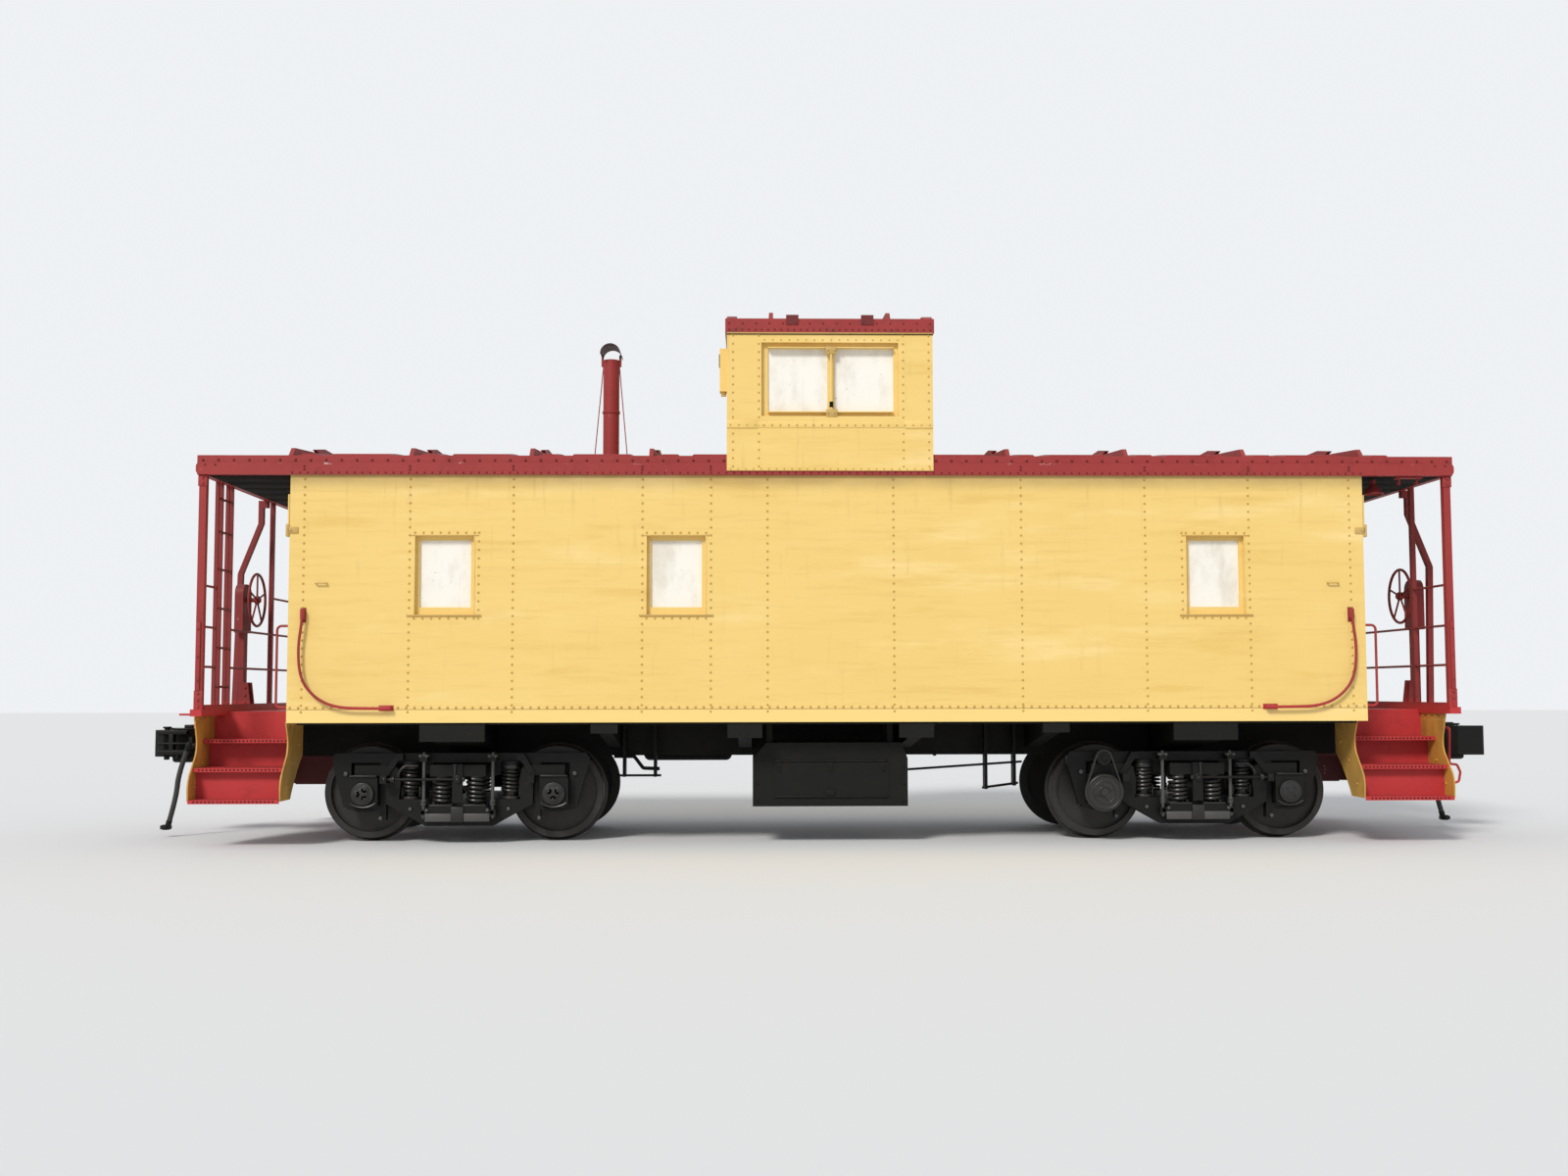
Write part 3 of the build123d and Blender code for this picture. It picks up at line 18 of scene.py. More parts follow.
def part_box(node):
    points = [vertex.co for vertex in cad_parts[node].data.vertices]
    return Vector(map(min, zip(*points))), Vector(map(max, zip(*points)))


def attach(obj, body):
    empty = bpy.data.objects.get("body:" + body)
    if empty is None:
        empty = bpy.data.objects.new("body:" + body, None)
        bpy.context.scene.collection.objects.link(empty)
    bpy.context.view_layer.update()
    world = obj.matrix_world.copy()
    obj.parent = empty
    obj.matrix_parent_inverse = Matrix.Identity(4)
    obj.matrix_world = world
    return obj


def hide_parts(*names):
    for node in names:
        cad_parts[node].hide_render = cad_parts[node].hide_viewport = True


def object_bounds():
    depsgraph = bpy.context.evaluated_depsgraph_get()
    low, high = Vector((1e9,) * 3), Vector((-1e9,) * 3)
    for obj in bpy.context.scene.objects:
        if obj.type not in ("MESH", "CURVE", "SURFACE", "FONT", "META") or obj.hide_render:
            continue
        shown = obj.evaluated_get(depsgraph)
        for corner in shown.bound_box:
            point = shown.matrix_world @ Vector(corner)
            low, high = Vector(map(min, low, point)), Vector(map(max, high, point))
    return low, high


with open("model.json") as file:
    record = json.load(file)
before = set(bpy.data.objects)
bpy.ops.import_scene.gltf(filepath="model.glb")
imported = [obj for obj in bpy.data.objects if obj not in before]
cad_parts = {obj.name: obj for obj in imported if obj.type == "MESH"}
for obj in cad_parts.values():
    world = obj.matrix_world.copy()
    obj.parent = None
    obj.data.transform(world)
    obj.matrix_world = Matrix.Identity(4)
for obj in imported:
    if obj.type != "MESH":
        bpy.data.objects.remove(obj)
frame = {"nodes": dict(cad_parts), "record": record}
cad_low, cad_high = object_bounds()
nodes = frame["nodes"]
corners = [tuple(round(v, 3) for v in corner) for corner in (cad_low, cad_high)]
print(len(nodes), "CAD nodes, from", corners[0], "to", corners[1])


def placed(name, data):
    """A new object in the scene, at the origin."""
    made = bpy.data.objects.new(name, data)
    bpy.context.scene.collection.objects.link(made)
    return made


# %% [markdown]
# ## Camera
# The car was photographed from its side with a moderately wide lens held at eye height. The camera was
# solved from the wheels, the body's corners and the roof line. It stands 15 m away and looks up a little.
# The rotation is built from a turn about Z, a tilt about X and a very small roll about the line of sight.

# %% Camera
PHOTO_WIDTH = 1600
SENSOR_WIDTH = 36.0
FOCAL_PIXELS = 1589.5
CAMERA_PLACE = Vector((-0.7006, -15.1031, 1.347))
CAMERA_TURN = 0.0214
CAMERA_TILT = 0.0663
CAMERA_ROLL = -0.0018

camera_data = bpy.data.cameras.new("camera")
camera_data.sensor_width = SENSOR_WIDTH
camera_data.lens = FOCAL_PIXELS / PHOTO_WIDTH * SENSOR_WIDTH
camera = placed("camera", camera_data)
turn = Matrix.Rotation(-CAMERA_TURN, 4, "Z")
tilt = Matrix.Rotation(math.pi / 2 + CAMERA_TILT, 4, "X")
roll = Matrix.Rotation(CAMERA_ROLL, 4, "Z")
camera.matrix_world = Matrix.Translation(CAMERA_PLACE) @ turn @ tilt @ roll
bpy.context.scene.camera = camera
print("lens", round(camera_data.lens, 2), "mm")

# %% [markdown]
# ## Studio
# The photograph has high sun from the camera's left. A wide sun lamp gives that direction with soft
# shadows, and an even sky lifts the shade under the floor. Together they light a surface that faces the
# camera at a level where a colour renders about as it is written.
# The backdrop shows only to the camera and in glossy surfaces, so it adds no light of its own.

# %% Studio
SKY_COLOUR = (0.93, 0.96, 1.0, 1.0)
SKY_LIGHT = 0.62
BACKDROP = (0.86, 0.88, 0.9, 1.0)
SUN_COLOUR = (1.0, 0.97, 0.92)
SUN_STRENGTH = 2.3
SUN_SPREAD = math.radians(14)
TOWARDS_SUN = (-0.42, -0.78, 0.72)
FLOOR_COLOUR = (0.72, 0.73, 0.74, 1.0)
FLOOR_ROUGHNESS = 0.9
FLOOR_REACH = 90

world = bpy.data.worlds.new("studio")
world.use_nodes = True
bpy.context.scene.world = world
sky = world.node_tree.nodes
sky.clear()
rays = sky.new("ShaderNodeLightPath")
plain = sky.new("ShaderNodeBackground")
plain.inputs["Color"].default_value = BACKDROP
light = sky.new("ShaderNodeBackground")
light.inputs["Color"].default_value = SKY_COLOUR
light.inputs["Strength"].default_value = SKY_LIGHT
direct = sky.new("ShaderNodeMath")
direct.operation = "MAXIMUM"
shown = sky.new("ShaderNodeMath")
shown.operation = "MAXIMUM"
chosen = sky.new("ShaderNodeMixShader")
for source, target in (
    (rays.outputs["Is Camera Ray"], direct.inputs[0]),
    (rays.outputs["Is Transmission Ray"], direct.inputs[1]),
    (direct.outputs[0], shown.inputs[0]),
    (rays.outputs["Is Glossy Ray"], shown.inputs[1]),
    (shown.outputs[0], chosen.inputs[0]),
    (light.outputs[0], chosen.inputs[1]),
    (plain.outputs[0], chosen.inputs[2]),
    (chosen.outputs[0], sky.new("ShaderNodeOutputWorld").inputs[0]),
):
    world.node_tree.links.new(source, target)

sun_data = bpy.data.lights.new("sun", "SUN")
sun_data.energy = SUN_STRENGTH
sun_data.angle = SUN_SPREAD
sun_data.color = SUN_COLOUR
sun = placed("sun", sun_data)
sun.rotation_euler = Vector(TOWARDS_SUN).to_track_quat("Z", "Y").to_euler()

ground = bmesh.new()
bmesh.ops.create_grid(ground, x_segments=1, y_segments=1, size=FLOOR_REACH)
ground_mesh = bpy.data.meshes.new("studio_floor")
ground.to_mesh(ground_mesh)
ground.free()
studio_floor = placed("studio_floor", ground_mesh)
pale = bpy.data.materials.new("studio_floor")
pale.use_nodes = True
pale_shader = pale.node_tree.nodes["Principled BSDF"]
pale_shader.inputs["Base Color"].default_value = FLOOR_COLOUR
pale_shader.inputs["Roughness"].default_value = FLOOR_ROUGHNESS
ground_mesh.materials.append(pale)
bpy.context.scene.view_settings.view_transform = "Standard"
print("sun", SUN_STRENGTH, "and sky", SKY_LIGHT)

# %% [markdown]
# ## How a finish is mixed
# Paint on an old car is never one colour. Each finish below is a Principled shader whose colour,
# roughness and bump come from noise read in object coordinates, so the pattern is fixed to the metal.
# `Wire` wraps a node's output so that shader sums can be written as Python sums. `Finish` owns a node
# tree, adds any node through one method, and finds bands and patches of the car by where they are.

# %% Wires and finishes
BUMP_STRENGTH = 0.6
finishes = {}


class Wire:
    """The output of a shader node, which takes part in sums and products."""

    def __init__(self, finish, socket):
        self.finish = finish
        self.socket = socket

    def _math(self, operation, first, second):
        return self.finish.node("ShaderNodeMath", {"operation": operation}, {0: first, 1: second})

    def __add__(self, other):
        return self._math("ADD", self, other)

    def __rsub__(self, other):
        return self._math("SUBTRACT", other, self)

    def __mul__(self, other):
        return self._math("MULTIPLY", self, other)

    __radd__ = __add__
    __rmul__ = __mul__


class Finish:
    """A procedural material that is built up from Wires, one coat over the other."""

    def __init__(self, name, metallic=0.0, gloss=0.5):
        self.name = name
        self.material = bpy.data.materials.new(name)
        self.material.use_nodes = True
        self.tree = self.material.node_tree
        self.shader = self.tree.nodes["Principled BSDF"]
        self.feed(self.shader, {"Metallic": metallic, "Specular IOR Level": gloss})
        self.place = self.node("ShaderNodeTexCoord", output="Object")

    def feed(self, node, sockets):
        """Links each Wire to its socket of a node, and writes each plain value there."""
        for socket, value in sockets.items():
            if isinstance(value, Wire):
                self.tree.links.new(value.socket, node.inputs[socket])
            else:
                node.inputs[socket].default_value = value

    def node(self, kind, settings=None, sockets=None, output=0):
        made = self.tree.nodes.new(kind)
        for setting, value in (settings or {}).items():
            setattr(made, setting, value)
        self.feed(made, sockets or {})
        return Wire(self, made.outputs[output])

    def noise(self, scale, stretch=(1, 1, 1), detail=4.0, roughness=0.6):
        """Noise from 0 to 1, finer along an axis with a larger stretch."""
        where = self.node("ShaderNodeMapping", None, {"Vector": self.place, "Scale": stretch})
        sockets = {"Vector": where, "Scale": scale, "Detail": detail, "Roughness": roughness}
        return self.node("ShaderNodeTexNoise", None, sockets)

    def between(self, value, low, high):
        """0 below low, 1 above high and a smooth step between."""
        sockets = {"Value": value, "From Min": low, "From Max": high}
        return self.node("ShaderNodeMapRange", {"interpolation_type": "SMOOTHSTEP"}, sockets)

    def patches(self, low, high, *noise, **more):
        """0 where the noise is below low and 1 where it is above high."""
        return self.between(self.noise(*noise, **more), low, high)

    def part(self, vector, axis):
        """One coordinate of a vector."""
        return self.node("ShaderNodeSeparateXYZ", None, {0: vector}, output=axis)

    def far(self, axis, low, high):
        """0 nearer to the car's middle plane than low and 1 farther than high."""
        signed = self.part(self.place, axis)
        return self.between(self.node("ShaderNodeMath", {"operation": "ABSOLUTE"}, {0: signed}), low, high)

    def along(self, low, high):
        """0 about the car's middle and 1 towards its ends."""
        return self.far("X", low, high)

    def across(self, low, high):
        """0 about the car's centre line and 1 towards its sides."""
        return self.far("Y", low, high)

    def above(self, low, high):
        """0 below one height over the floor plane and 1 above another."""
        return self.between(self.part(self.place, "Z"), low, high)

    def below(self, low, high):
        """1 below one height over the floor plane and 0 above another."""
        return 1 - self.above(low, high)

    def facing_inwards(self):
        """1 where a surface that is far from the centre line looks back at it."""
        normal = self.node("ShaderNodeTexCoord", output="Normal")
        return 1 - self.between(self.part(normal, "Y") * self.part(self.place, "Y"), -0.5, -0.2)

    def facing_up(self):
        """1 where a surface faces the sky."""
        normal = self.node("ShaderNodeTexCoord", output="Normal")
        return self.between(self.part(normal, "Z"), 0.35, 0.9)

    def mix(self, factor, first, second):
        """The first colour where factor is 0 and the second where it is 1."""
        first, second = (c if isinstance(c, Wire) else (*c, 1.0) for c in (first, second))
        return self.node("ShaderNodeMix", {"data_type": "RGBA"}, {0: factor, 6: first, 7: second}, output=2)

    def base(self, factor, first, second):
        """The first coat, which all others go over."""
        self.coat = self.mix(factor, first, second)

    def over(self, mask, colour):
        """A coat that goes over the others as far as the mask lets it."""
        self.coat = self.mix(mask, self.coat, colour)

    def cover(self, roughness, bump, depth=0.001):
        """Wires the coats, the roughness and the relief to the shader and keeps the finish."""
        sockets = {"Height": bump, "Distance": depth, "Strength": BUMP_STRENGTH}
        relief = self.node("ShaderNodeBump", None, sockets, "Normal")
        self.feed(self.shader, {"Base Color": self.coat, "Roughness": roughness, "Normal": relief})
        finishes[self.name] = self.material
        print(self.name, "is mixed by", len(self.tree.nodes), "nodes")


# %% [markdown]
# ## Yellow side paint
# The sides were painted by brush over older coats. Long darker drifts lie along the sheets, fine streaks
# run down from the eaves and the window sills, and a painted shadow lies along the lap's bottom edge.
# Drifts are noise stretched along X, and streaks are noise stretched along Z.

# %% Yellow paint
SHEET_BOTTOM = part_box("side_walls")[0][2]
yellow = Finish("yellow_paint", gloss=0.35)
yellow.base(yellow.noise(0.9, (1, 1, 2.4)), (0.82, 0.60, 0.21), (0.77, 0.53, 0.155))
dark_drifts = yellow.patches(0.52, 0.72, 1.5, (0.45, 1, 3.2), 6.0, 0.66)
yellow.over(dark_drifts * 0.5, (0.68, 0.43, 0.10))
pale_drifts = yellow.patches(0.52, 0.75, 1.1, (0.5, 1.0, 2.6), 5.0)
yellow.over(pale_drifts * 0.55, (0.90, 0.70, 0.33))
fine_drifts = yellow.patches(0.5, 0.7, 5.0, (0.3, 1.0, 5.0), 6.0, 0.7)
yellow.over(fine_drifts * 0.22, (0.62, 0.40, 0.11))
streaks = yellow.patches(0.56, 0.78, 6.5, (2.2, 2.2, 0.22), 5.0, 0.7)
yellow.over(streaks * (0.14 + 0.24 * yellow.above(1.9, 3.3)), (0.42, 0.27, 0.10))
# A darker band under the eaves, no deeper than a hand, is partly soot and partly painted shadow of the
# eaves.
eave_shadow_and_soot = yellow.above(3.08, 3.22) * yellow.below(3.255, 3.26)
yellow.over(eave_shadow_and_soot * (0.2 + 0.5 * yellow.noise(4.0, (0.8, 1, 1), 5.0)), (0.24, 0.155, 0.07))
# The sheet below the lap is painted paler, as painted light for the sun that this strip faces.
yellow.over(yellow.below(1.194, 1.2) * 0.5, (0.92, 0.69, 0.26))
specks = yellow.patches(0.72, 0.76, 26.0)
yellow.over(specks * 0.55, (0.26, 0.15, 0.06))
# A thin dark line just under the lap's edge is painted shadow of that edge.
lap_shadow_line = yellow.above(1.189, 1.192) * yellow.below(1.1985, 1.2)
yellow.over(lap_shadow_line * 0.5, (0.36, 0.21, 0.06))
# Below the side sheets the same slot finishes the step plates in a darker brown ochre, partly their
# weathered yellow and partly painted shade under the platforms.
ochre_patches = yellow.patches(0.35, 0.75, 5.0, (1, 1, 0.5), 6.0)
ochre_and_shade = yellow.mix(ochre_patches, (0.58, 0.31, 0.06), (0.33, 0.18, 0.045))
step_plates = yellow.below(SHEET_BOTTOM - 0.01, SHEET_BOTTOM) + yellow.along(4.9, 4.91)
yellow.over(step_plates * 0.9, ochre_and_shade)
# Rivet heads are darkened, partly for dirt and partly as painted shade. A head stands proud of its sheet,
# so its distance from the car's centre line finds it, on the sides, on the cupola and on the cupola's belt.
side_head_dirt_and_shade = yellow.across(1.4652, 1.4662) * yellow.below(3.24, 3.26)
off_the_belt = yellow.above(3.74, 3.75) + yellow.below(3.65, 3.66)
on_the_belt = yellow.above(3.675, 3.676) * yellow.below(3.704, 3.705)
cupola_head_dirt_and_shade = yellow.across(1.5045, 1.5055) * off_the_belt
cupola_head_dirt_and_shade = cupola_head_dirt_and_shade + yellow.across(1.5115, 1.512) * on_the_belt
yellow.over((side_head_dirt_and_shade + cupola_head_dirt_and_shade) * 0.55, (0.30, 0.17, 0.05))
yellow.cover(0.42 + 0.22 * yellow.noise(12.0), yellow.noise(38.0, (1, 1, 2)), 0.0012)

# %% [markdown]
# ## Red paint
# The roof, the railings and the steps share one dull red. Rain and soot darken what faces the sky, and
# chips show pale primer on the edges.

# %% Red paint
red = Finish("red_paint", gloss=0.3)
# Above the steps the red is darker: partly aged paint and partly painted shade under the roof's overhang.
bright = red.mix(red.noise(1.6, detail=5.0), (0.43, 0.028, 0.03), (0.50, 0.04, 0.042))
aged_and_shaded = red.mix(red.noise(1.3, detail=5.0), (0.26, 0.026, 0.026), (0.35, 0.042, 0.038))
red.base(red.above(1.16, 1.3), bright, aged_and_shaded)
# Under the roof's overhang the ironwork is darkened as painted shade, most of all what stands away from the
# sides.
overhang_shade = red.along(4.74, 4.76) * red.above(1.2, 1.3)
overhang_shade = overhang_shade * red.below(3.235, 3.248) * (1 - red.across(1.33, 1.38))
red.over(overhang_shade * 0.45, (0.09, 0.012, 0.013))
# The backs of the step risers, which face in under the car, are painted nearly black as painted shade.
riser_back_shade = red.facing_inwards() * red.below(1.1, 1.16)
red.over(riser_back_shade * 0.85, (0.02, 0.008, 0.008))
blots = red.patches(0.52, 0.75, 5.0, (1, 1, 1), 8.0, 0.7)
red.over(blots * 0.4, (0.15, 0.018, 0.018))
runs = red.patches(0.55, 0.75, 8.0, (2.4, 2.4, 0.3), 5.0, 0.7)
red.over(runs * 0.3, (0.11, 0.02, 0.018))
soot = red.facing_up() * red.patches(0.35, 0.7, 3.0, (1, 1, 1), 7.0, 0.7)
red.over(soot * 0.6, (0.13, 0.05, 0.045))
chips = red.patches(0.70, 0.73, 17.0, (1, 1, 1), 7.0, 0.62)
red.over(chips * 0.6, (0.5, 0.42, 0.36))
# The roof's edge was caulked white, and the caulk shows in broken patches along the fascia's top.
caulk_band = red.above(3.335, 3.342) * red.below(3.358, 3.362)
caulk = red.patches(0.6, 0.66, 2.2, (1.6, 0.1, 3.0), 8.0, 0.72)
red.over(caulk_band * caulk * 0.6, (0.6, 0.5, 0.46))
# Rivet heads proud of the fascia and the flange above it are darkened: partly dirt, partly painted shade.
main_eaves = red.above(3.24, 3.25) * red.below(3.43, 3.44)
fascia_head_dirt_and_shade = red.across(1.4895, 1.4905) * main_eaves
flange_head_dirt_and_shade = red.across(1.4785, 1.4795) * red.above(3.361, 3.363) * main_eaves
top_head_dirt_and_shade = red.across(1.5155, 1.5165) * red.above(4.5, 4.51)
red.over((fascia_head_dirt_and_shade + flange_head_dirt_and_shade + top_head_dirt_and_shade) * 0.7, (0.07, 0.012, 0.012))
cupola_soot = red.above(4.5, 4.52) * red.patches(0.5, 0.7, 4.5, (1, 1, 2.2), 7.0, 0.7)
red.over(cupola_soot * 0.6, (0.07, 0.03, 0.026))
# The stove pipe's hood is burnt black. It stands clear of all that is as high, so height and place
# find it.
burnt = red.above(4.585, 4.62) * red.along(1.4, 1.41)
red.over(burnt * (0.55 + 0.45 * red.noise(9.0)), (0.022, 0.016, 0.015))
red.cover(0.45 + 0.25 * red.noise(9.0), red.noise(30.0))

# %% [markdown]
# ## Boards, iron and rubber
# The windows are boarded with painted sheets that rain has stained. The underframe and the trucks are
# black with brown dust on what faces up, and the wheels are as dark, since the car has long stood still.

# %% White boards
board = Finish("white_board")
stain = board.patches(0.42, 0.72, 3.2, (1.5, 1.5, 0.8), 8.0, 0.68)
board.base(stain, (0.84, 0.82, 0.76), (0.70, 0.66, 0.58))
spots = board.patches(0.66, 0.74, 22.0, detail=5.0)
board.over(spots * 0.6, (0.36, 0.31, 0.25))
runs = board.patches(0.62, 0.8, 9.0, (2.5, 2.5, 0.15), 3.0)
board.over(runs * 0.35, (0.42, 0.37, 0.29))
board.cover(0.6, board.noise(60.0, (1, 1, 3)), 0.0008)


# %% Blacks
def grimy_black(name, base, dust, rough, metallic, gloss):
    """Black paint or iron with dust where it faces up."""
    black = Finish(name, metallic, gloss)
    black.base(black.noise(4.0, detail=6.0), base, tuple(v * 1.8 for v in base))
    settled = black.facing_up() * black.patches(0.3, 0.7, 8.0, detail=6.0)
    black.over(settled * 0.7, dust)
    rust = black.patches(0.62, 0.72, 14.0, (1, 1, 1), 7.0, 0.7)
    black.over(rust * 0.4, (0.07, 0.04, 0.025))
    # The boards under the roof are dry with soot, so they have no sheen even at a low angle.
    dry = 0.5 * black.above(3.2, 3.22)
    black.cover(rough + 0.25 * black.noise(11.0) + dry, black.noise(55.0), 0.0012)


grimy_black("underframe_black", (0.0055, 0.0055, 0.0045), (0.034, 0.031, 0.026), 0.45, 0.0, 0.16)
grimy_black("truck_iron", (0.0035, 0.0035, 0.003), (0.036, 0.034, 0.028), 0.36, 0.0, 0.22)
grimy_black("worn_iron", (0.045, 0.044, 0.041), (0.16, 0.155, 0.14), 0.3, 0.1, 0.45)
grimy_black("spring_steel", (0.012, 0.0115, 0.011), (0.12, 0.115, 0.1), 0.22, 0.2, 0.5)

# %% Wheels, rubber and wood
wheel = Finish("wheel_steel", gloss=0.35)
wheel.base(wheel.noise(6.0, detail=6.0), (0.011, 0.0105, 0.01), (0.035, 0.031, 0.027))
wheel.cover(0.38 + 0.2 * wheel.noise(14.0), wheel.noise(40.0))

rubber = Finish("hose_rubber")
rubber.base(rubber.noise(20.0, detail=5.0), (0.016, 0.016, 0.016), (0.04, 0.038, 0.036))
rubber.cover(0.7, rubber.noise(90.0), 0.0006)

wood = Finish("floor_board")
wood.base(wood.noise(5.0, (0.4, 8, 8), 6.0), (0.16, 0.10, 0.06), (0.28, 0.19, 0.12))
wood.cover(0.75, wood.noise(30.0, (0.4, 8, 8)))

# %% Finishes of the CAD nodes
for subpart in frame["record"]["subparts"]:
    mesh = nodes[subpart["node"]].data
    mesh.materials.clear()
    mesh.materials.append(finishes[subpart["material_slot"]])
print(len(finishes), "finishes on", len(nodes), "CAD nodes")

# %% [markdown]
# ## Air hoses
# Each end of the car has one free rubber hose, about 0.66 m from its nipple to its coupling head. It hangs
# under its own weight and kicks outwards at the foot. It is a NURBS curve over the same four points as
# the CAD tube, and it is the first piece that is made.

# %% Air hoses
HOSE_DIAMETER = 0.048
HOSE_ROUTE = ((5.992, 0.3, 0.8), (6.064, 0.3, 0.59), (6.08, 0.3, 0.37), (6.138, 0.3, 0.152))


def round_curve(name, diameter, resolution):
    """An empty curve with a round section and closed ends."""
    curve = bpy.data.curves.new(name, "CURVE")
    curve.dimensions = "3D"
    curve.bevel_depth = diameter / 2
    curve.bevel_resolution = resolution
    curve.use_fill_caps = True
    return curve


def thread(curve, route, resolution):
    """Adds a NURBS line that is led by the points of a route."""
    line = curve.splines.new("NURBS")
    line.points.add(len(route) - 1)
    for point, place in zip(line.points, route):
        point.co = (*place, 1.0)
    line.order_u = 3
    line.use_endpoint_u = True
    line.resolution_u = resolution


for end, side in (("a", -1), ("b", 1)):
    route = [(side * x, side * y, z) for x, y, z in HOSE_ROUTE]
    curve = round_curve(f"hose_{end}", HOSE_DIAMETER, 4)
    thread(curve, route, 12)
    curve.materials.append(finishes["hose_rubber"])
    hose = placed(f"hose_{end}", curve)
    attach(hose, "car_body")
    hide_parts(f"air_hose_{end}")

# %% [markdown]
# ## How small pieces are made
# Every rivet, bolt, strap and coil below starts from a bmesh operator. A tapered drum makes rivets,
# bolts, discs and nuts, a bevelled block makes plates and bars, and a circle that is spun about a far
# axis makes bent rods and springs. Building a whole family in one bmesh keeps it one piece, as it is one
# job in the paint shop. `finished_piece` then ties the mesh to its finish and to the part of the car that
# carries it.

# %% Drums and blocks
CIRCLE_SIDES = 16
ROD_SIDES = 8
HEX = 6
SHARP_ANGLE = 0.6
SMOOTH_ANGLE = math.radians(35)
TOWARDS = {"X": Vector((1, 0, 0)), "Y": Vector((0, 1, 0)), "Z": Vector((0, 0, 1))}


def drum(form, centre, axis, radius, depth, top=None, sides=CIRCLE_SIDES, edge=0.0):
    """A closed drum or cone about its centre, along a named axis or a vector."""
    along = TOWARDS[axis] if isinstance(axis, str) else Vector(axis)
    place = Matrix.Translation(centre) @ along.to_track_quat("Z", "Y").to_matrix().to_4x4()
    made = bmesh.ops.create_cone(
        form, cap_ends=True, segments=sides, radius1=radius, radius2=radius if top is None else top,
        depth=depth, matrix=place,
    )["verts"]
    return rounded(form, made, edge)


def bolt_head(form, centre, axis, radius, depth, edge=0.002):
    """A six-sided bolt head or nut with its edges taken off."""
    return drum(form, centre, axis, radius, depth, sides=HEX, edge=edge)


def block(form, low, high, edge=0.0):
    """A closed block between two corners, with its edges rounded off."""
    middle = [(a + b) / 2 for a, b in zip(low, high)]
    sides = [abs(b - a) for a, b in zip(low, high)]
    place = Matrix.Translation(middle) @ Matrix.Diagonal((*sides, 1.0))
    return rounded(form, bmesh.ops.create_cube(form, size=1.0, matrix=place)["verts"], edge)


def about(middle, half):
    """Two places, as far on either side of a middle."""
    return (middle - half, middle + half)


def on_face(form, face, x, z, proud, sunk, edge=0.002):
    """A flat piece on an upright face, between two places along the car and two heights."""
    return block(form, (x[0], face - proud, z[0]), (x[1], face + sunk, z[1]), edge)


def rounded(form, verts, edge):
    """Rounds every sharp edge of the shape that these corners belong to, unless edge is 0."""
    if not edge:
        return verts
    edges = dict.fromkeys(e for v in verts for e in v.link_edges if e.calc_face_angle(0) > SHARP_ANGLE)
    made = bmesh.ops.bevel(
        form, geom=list(edges), offset=edge, segments=2, affect="EDGES", profile=0.5, material=-1,
        clamp_overlap=True,
    )
    return made["verts"] + [v for v in verts if v.is_valid]


# %% Bent rods and coils
def spun(form, place, wire, **spin):
    """Sweeps a small circle along a spin."""
    ring = bmesh.ops.create_circle(form, segments=ROD_SIDES, radius=wire, matrix=place)["verts"]
    edges = list(dict.fromkeys(e for v in ring for e in v.link_edges))
    bmesh.ops.spin(form, geom=ring + edges, **spin)


def bend(form, start, cent, axis, angle, wire, steps=10):
    """A round rod from a start point, bent about a centre line through an angle."""
    radial = (Vector(start) - Vector(cent)).normalized()
    along = Vector(axis).cross(radial)
    place = Matrix.Translation(start) @ along.to_track_quat("Z", "Y").to_matrix().to_4x4()
    spun(form, place, wire, cent=cent, axis=axis, angle=angle, steps=steps)


def coil(form, centre, radius, low, high, turns, wire, per_turn=18):
    """A helical spring that stands upright."""
    x, y = centre
    place = Matrix.Translation((x + radius, y, low)) @ Matrix.Rotation(math.pi / 2, 4, "X")
    steps = round(turns * per_turn)
    spun(
        form, place, wire / 2, cent=(x, y, low), axis=(0, 0, 1), dvec=(0, 0, (high - low) / steps),
        angle=math.tau * turns, steps=steps,
    )


# %% Copies and finished pieces
def doubled(form):
    """Duplicates everything and returns the corners of the copy."""
    copy = bmesh.ops.duplicate(form, geom=form.verts[:] + form.edges[:] + form.faces[:])["geom"]
    return [v for v in copy if isinstance(v, bmesh.types.BMVert)]


def turned(form):
    """Adds everything again, half a turn round the car's upright middle line."""
    half_turn = Matrix.Rotation(math.pi, 3, "Z")
    bmesh.ops.rotate(form, cent=(0, 0, 0), matrix=half_turn, verts=doubled(form))


def reflected(form, axis):
    """Adds everything again, mirrored in the plane across one axis."""
    scale = Vector([-1.0 if name == axis else 1.0 for name in "XYZ"])
    bmesh.ops.scale(form, vec=scale, verts=doubled(form))


def finished_piece(form, name, slot, body, replaced=()):
    """Closes a bmesh into an object with a finish, on the body that carries it."""
    bmesh.ops.holes_fill(form, edges=[e for e in form.edges if e.is_boundary], sides=0)
    bmesh.ops.recalc_face_normals(form, faces=form.faces[:])
    mesh = bpy.data.meshes.new(name)
    form.to_mesh(mesh)
    form.free()
    mesh.shade_smooth()
    mesh.set_sharp_from_angle(angle=SMOOTH_ANGLE)
    mesh.materials.append(finishes[slot])
    piece = placed(name, mesh)
    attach(piece, body)
    if replaced:
        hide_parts(*replaced)
    print(name, len(mesh.polygons), "faces on", body)


def evenly(first, last, pitch):
    """Places from first to last, as near a pitch apart as fits."""
    count = max(1, round(abs(last - first) / pitch))
    return [first + (last - first) * index / count for index in range(count + 1)]


# %% [markdown]
# ## Rivets and laps of the side sheets
# The sides are steel sheets riveted to posts. A column of rivets stands over each post, one row runs above
# the lap at the bottom, and more rows frame each window. Every rivet is a low eight-sided dome, because at
# this distance only its shadow counts and there are nearly two thousand of them.
# The columns are listed by where they stand along the near side, and the far side is half a turn round.

